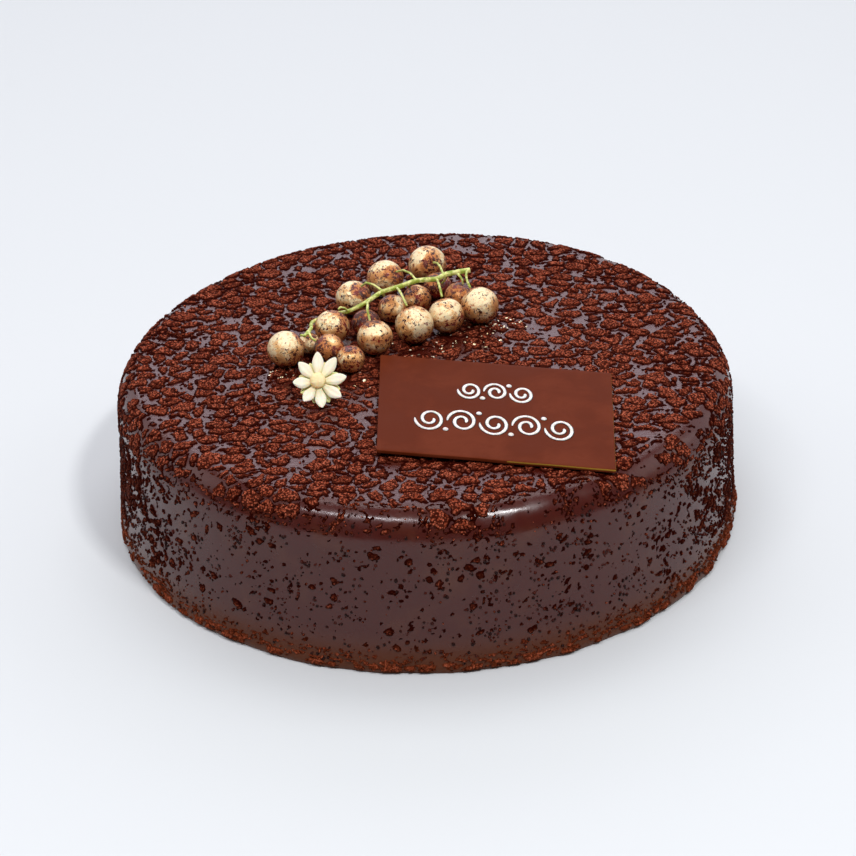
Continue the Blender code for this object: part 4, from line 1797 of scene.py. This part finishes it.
    def build_dome(self, finish: Material) -> Piece:
        """Make the lumpy dome in the middle.

        Args:
            finish: Its material.

        Returns:
            The piece.
        """
        bm = new_shape("along")
        bmesh.ops.create_icosphere(bm, subdivisions=5, radius=1)
        whole = bm.verts[:] + bm.edges[:] + bm.faces[:]
        bmesh.ops.bisect_plane(
            bm, geom=whole, dist=1e-6, plane_co=(0, 0, 0), plane_no=(0, 0, 1), clear_inner=True
        )
        bmesh.ops.contextual_create(bm, geom=rim_of(bm))
        along = layer(bm, "along")
        size = Vector((self.dome_radius, self.dome_radius, self.dome_height))
        for vertex in bm.verts:
            unit = vertex.co.copy()
            lumpy = 1 + 0.05 * noise.noise(unit * 3.5) + 0.025 * noise.noise(unit * 9)
            vertex.co = unit * size * (lumpy if unit.z > 0.02 else 1.0)
            vertex.co.z += self.dome_lift
            vertex[along] = unit.z
        bmesh.ops.transform(bm, matrix=self.frame(), verts=bm.verts)
        return make_piece("daisy_dome", bm, [finish], ["daisy_centre"], sharp=60)


@dataclass(frozen=True)
class Lamp:
    """A rectangular soft light that looks at the cake."""

    name: str
    place: tuple[float, float, float]
    size: tuple[float, float]
    watts: float
    tint: Colour

    def hang(self) -> None:
        """Add it to the scene."""
        light = bpy.data.lights.new(self.name, "AREA")
        light.shape = "RECTANGLE"
        light.size, light.size_y = self.size
        light.energy = self.watts
        light.color = self.tint
        lamp = add_object(self.name, light)
        lamp.location = self.place
        way = Vector(LOOK_AT) - lamp.location
        lamp.rotation_euler = way.to_track_quat("-Z", "Y").to_euler()


LAMPS = (
    Lamp("key_above", (0.42, -0.62, 1.15), (0.18, 0.08), 7.6, (1.0, 0.99, 1.0)),
    Lamp("strip_above", (-0.36, -0.62, 1.15), (0.80, 0.06), 5.6, (0.98, 0.95, 1.0)),
    Lamp("wide_above", (0.0, 0.55, 1.35), (1.2, 0.6), 5.8, (0.99, 0.98, 1.0)),
    Lamp("panel_back", (0.0, 1.9, 1.05), (2.6, 1.1), 12.0, (0.90, 0.86, 1.0)),
    Lamp("panel_left", (-1.5, 0.1, 1.0), (1.0, 1.0), 2.5, (1.0, 0.99, 0.98)),
    Lamp("panel_right", (1.5, 0.2, 1.0), (1.0, 1.0), 2.5, (1.0, 0.99, 0.98)),
)


@dataclass
class Studio:
    """Pale floor, soft light from behind and the photograph's camera."""

    camera_place: tuple[float, float, float] = (0.0, -0.6428, 0.3902)
    camera_pitch: float = 31.255
    camera_roll: float = 1.604
    camera_rise: float = 0.02759
    focal: float = 2556.0
    image: float = 856.0
    floor_size: float = 4.0
    sky_back: Colour = (0.86, 0.86, 0.92)
    sky_front: Colour = (0.14, 0.135, 0.14)
    sky_top: Colour = (0.36, 0.36, 0.38)

    def build_floor(self, finish: Material) -> None:
        """Make the floor, which isn't part of the object.

        Args:
            finish: Its material.
        """
        bm = bmesh.new()
        bmesh.ops.create_grid(bm, x_segments=4, y_segments=4, size=self.floor_size)
        mesh = bpy.data.meshes.new("floor")
        bm.to_mesh(mesh)
        bm.free()
        mesh.materials.append(finish)
        floor = add_object("floor", mesh)

    def build_sky(self) -> None:
        """Make the soft surroundings: bright low at the back, dimmer overhead and in front."""
        world = bpy.data.worlds.new("studio")
        bpy.context.scene.world = world
        world.use_nodes = True
        nodes = Nodes(world.node_tree)
        place = nodes.add("ShaderNodeTexCoord").outputs["Generated"]
        to_back = nodes.span(nodes.part(place, "Y"), -0.3, 0.5)
        to_top = nodes.span(nodes.part(place, "Z"), 0.45, 0.8)
        ring = nodes.blend(to_back, self.sky_front, self.sky_back)
        background = world.node_tree.nodes["Background"]
        nodes.feed(background, "Color", nodes.blend(to_top, ring, self.sky_top))
        nodes.feed(background, "Strength", 1.0)

    def build_camera(self) -> None:
        """Place the camera as the photograph's stood."""
        pitch, roll = math.radians(self.camera_pitch), math.radians(self.camera_roll)
        ahead = Vector((0, math.cos(pitch), -math.sin(pitch)))
        right = Vector((1, 0, 0))
        up = right.cross(ahead)
        turned = right * math.cos(roll) - up * math.sin(roll)
        upright = right * math.sin(roll) + up * math.cos(roll)
        ahead, upright = ahead + upright * self.camera_rise, upright - ahead * self.camera_rise
        ahead.normalize()
        upright.normalize()
        data = bpy.data.cameras.new("camera")
        data.sensor_width = 36.0
        data.lens = data.sensor_width * self.focal / self.image
        data.clip_start, data.clip_end = 0.01, 20.0
        camera = add_object("camera", data)
        camera.matrix_world = Matrix.Translation(self.camera_place) @ (
            Matrix((turned, upright, -ahead)).transposed().to_4x4()
        )
        bpy.context.scene.camera = camera

    def build(self) -> None:
        """Make the whole studio."""
        self.build_floor(FloorFinish().build())
        self.build_sky()
        for lamp in LAMPS:
            lamp.hang()
        self.build_camera()
        bpy.context.scene.view_settings.view_transform = "Standard"
        bpy.context.scene.view_settings.look = "None"


def main() -> None:
    """Build every piece in order."""
    logging.basicConfig(level=logging.INFO, format="%(name)s: %(message)s")
    noise.seed_set(NOISE_SEED)
    Studio().build()
    form = CakeForm()
    crumbs = CrumbFinish().build()
    GlazedBody(form).build(GlazeFinish().build())
    coat = CrumbCoat(form)
    coat.build_top(crumbs)
    coat.build_wall(crumbs)
    LooseCrumbs(coat).build(crumbs)
    GlazeSpecks(form).build(SpeckFinish().build())
    plaque = Plaque()
    plaque.build_slab(MilkChocolateFinish().build())
    plaque.build_piping(IcingFinish().build(), PipingShadowFinish().build())
    CurrantCluster().build(GildedSkinFinish().build(), StalkFinish().build())
    GoldScraps(coat).build(GoldLeafFinish().build())
    Daisy().build(
        SugarPasteFinish("ivory_paste", (0.86, 0.81, 0.63), (0.82, 0.72, 0.42)).build(),
        SugarPasteFinish("green_paste", (0.78, 0.76, 0.30), (0.60, 0.58, 0.16)).build(),
        SugarPasteFinish("yellow_paste", (0.93, 0.76, 0.40), (0.88, 0.62, 0.24)).build(),
    )


if __name__ == "__main__":
    main()
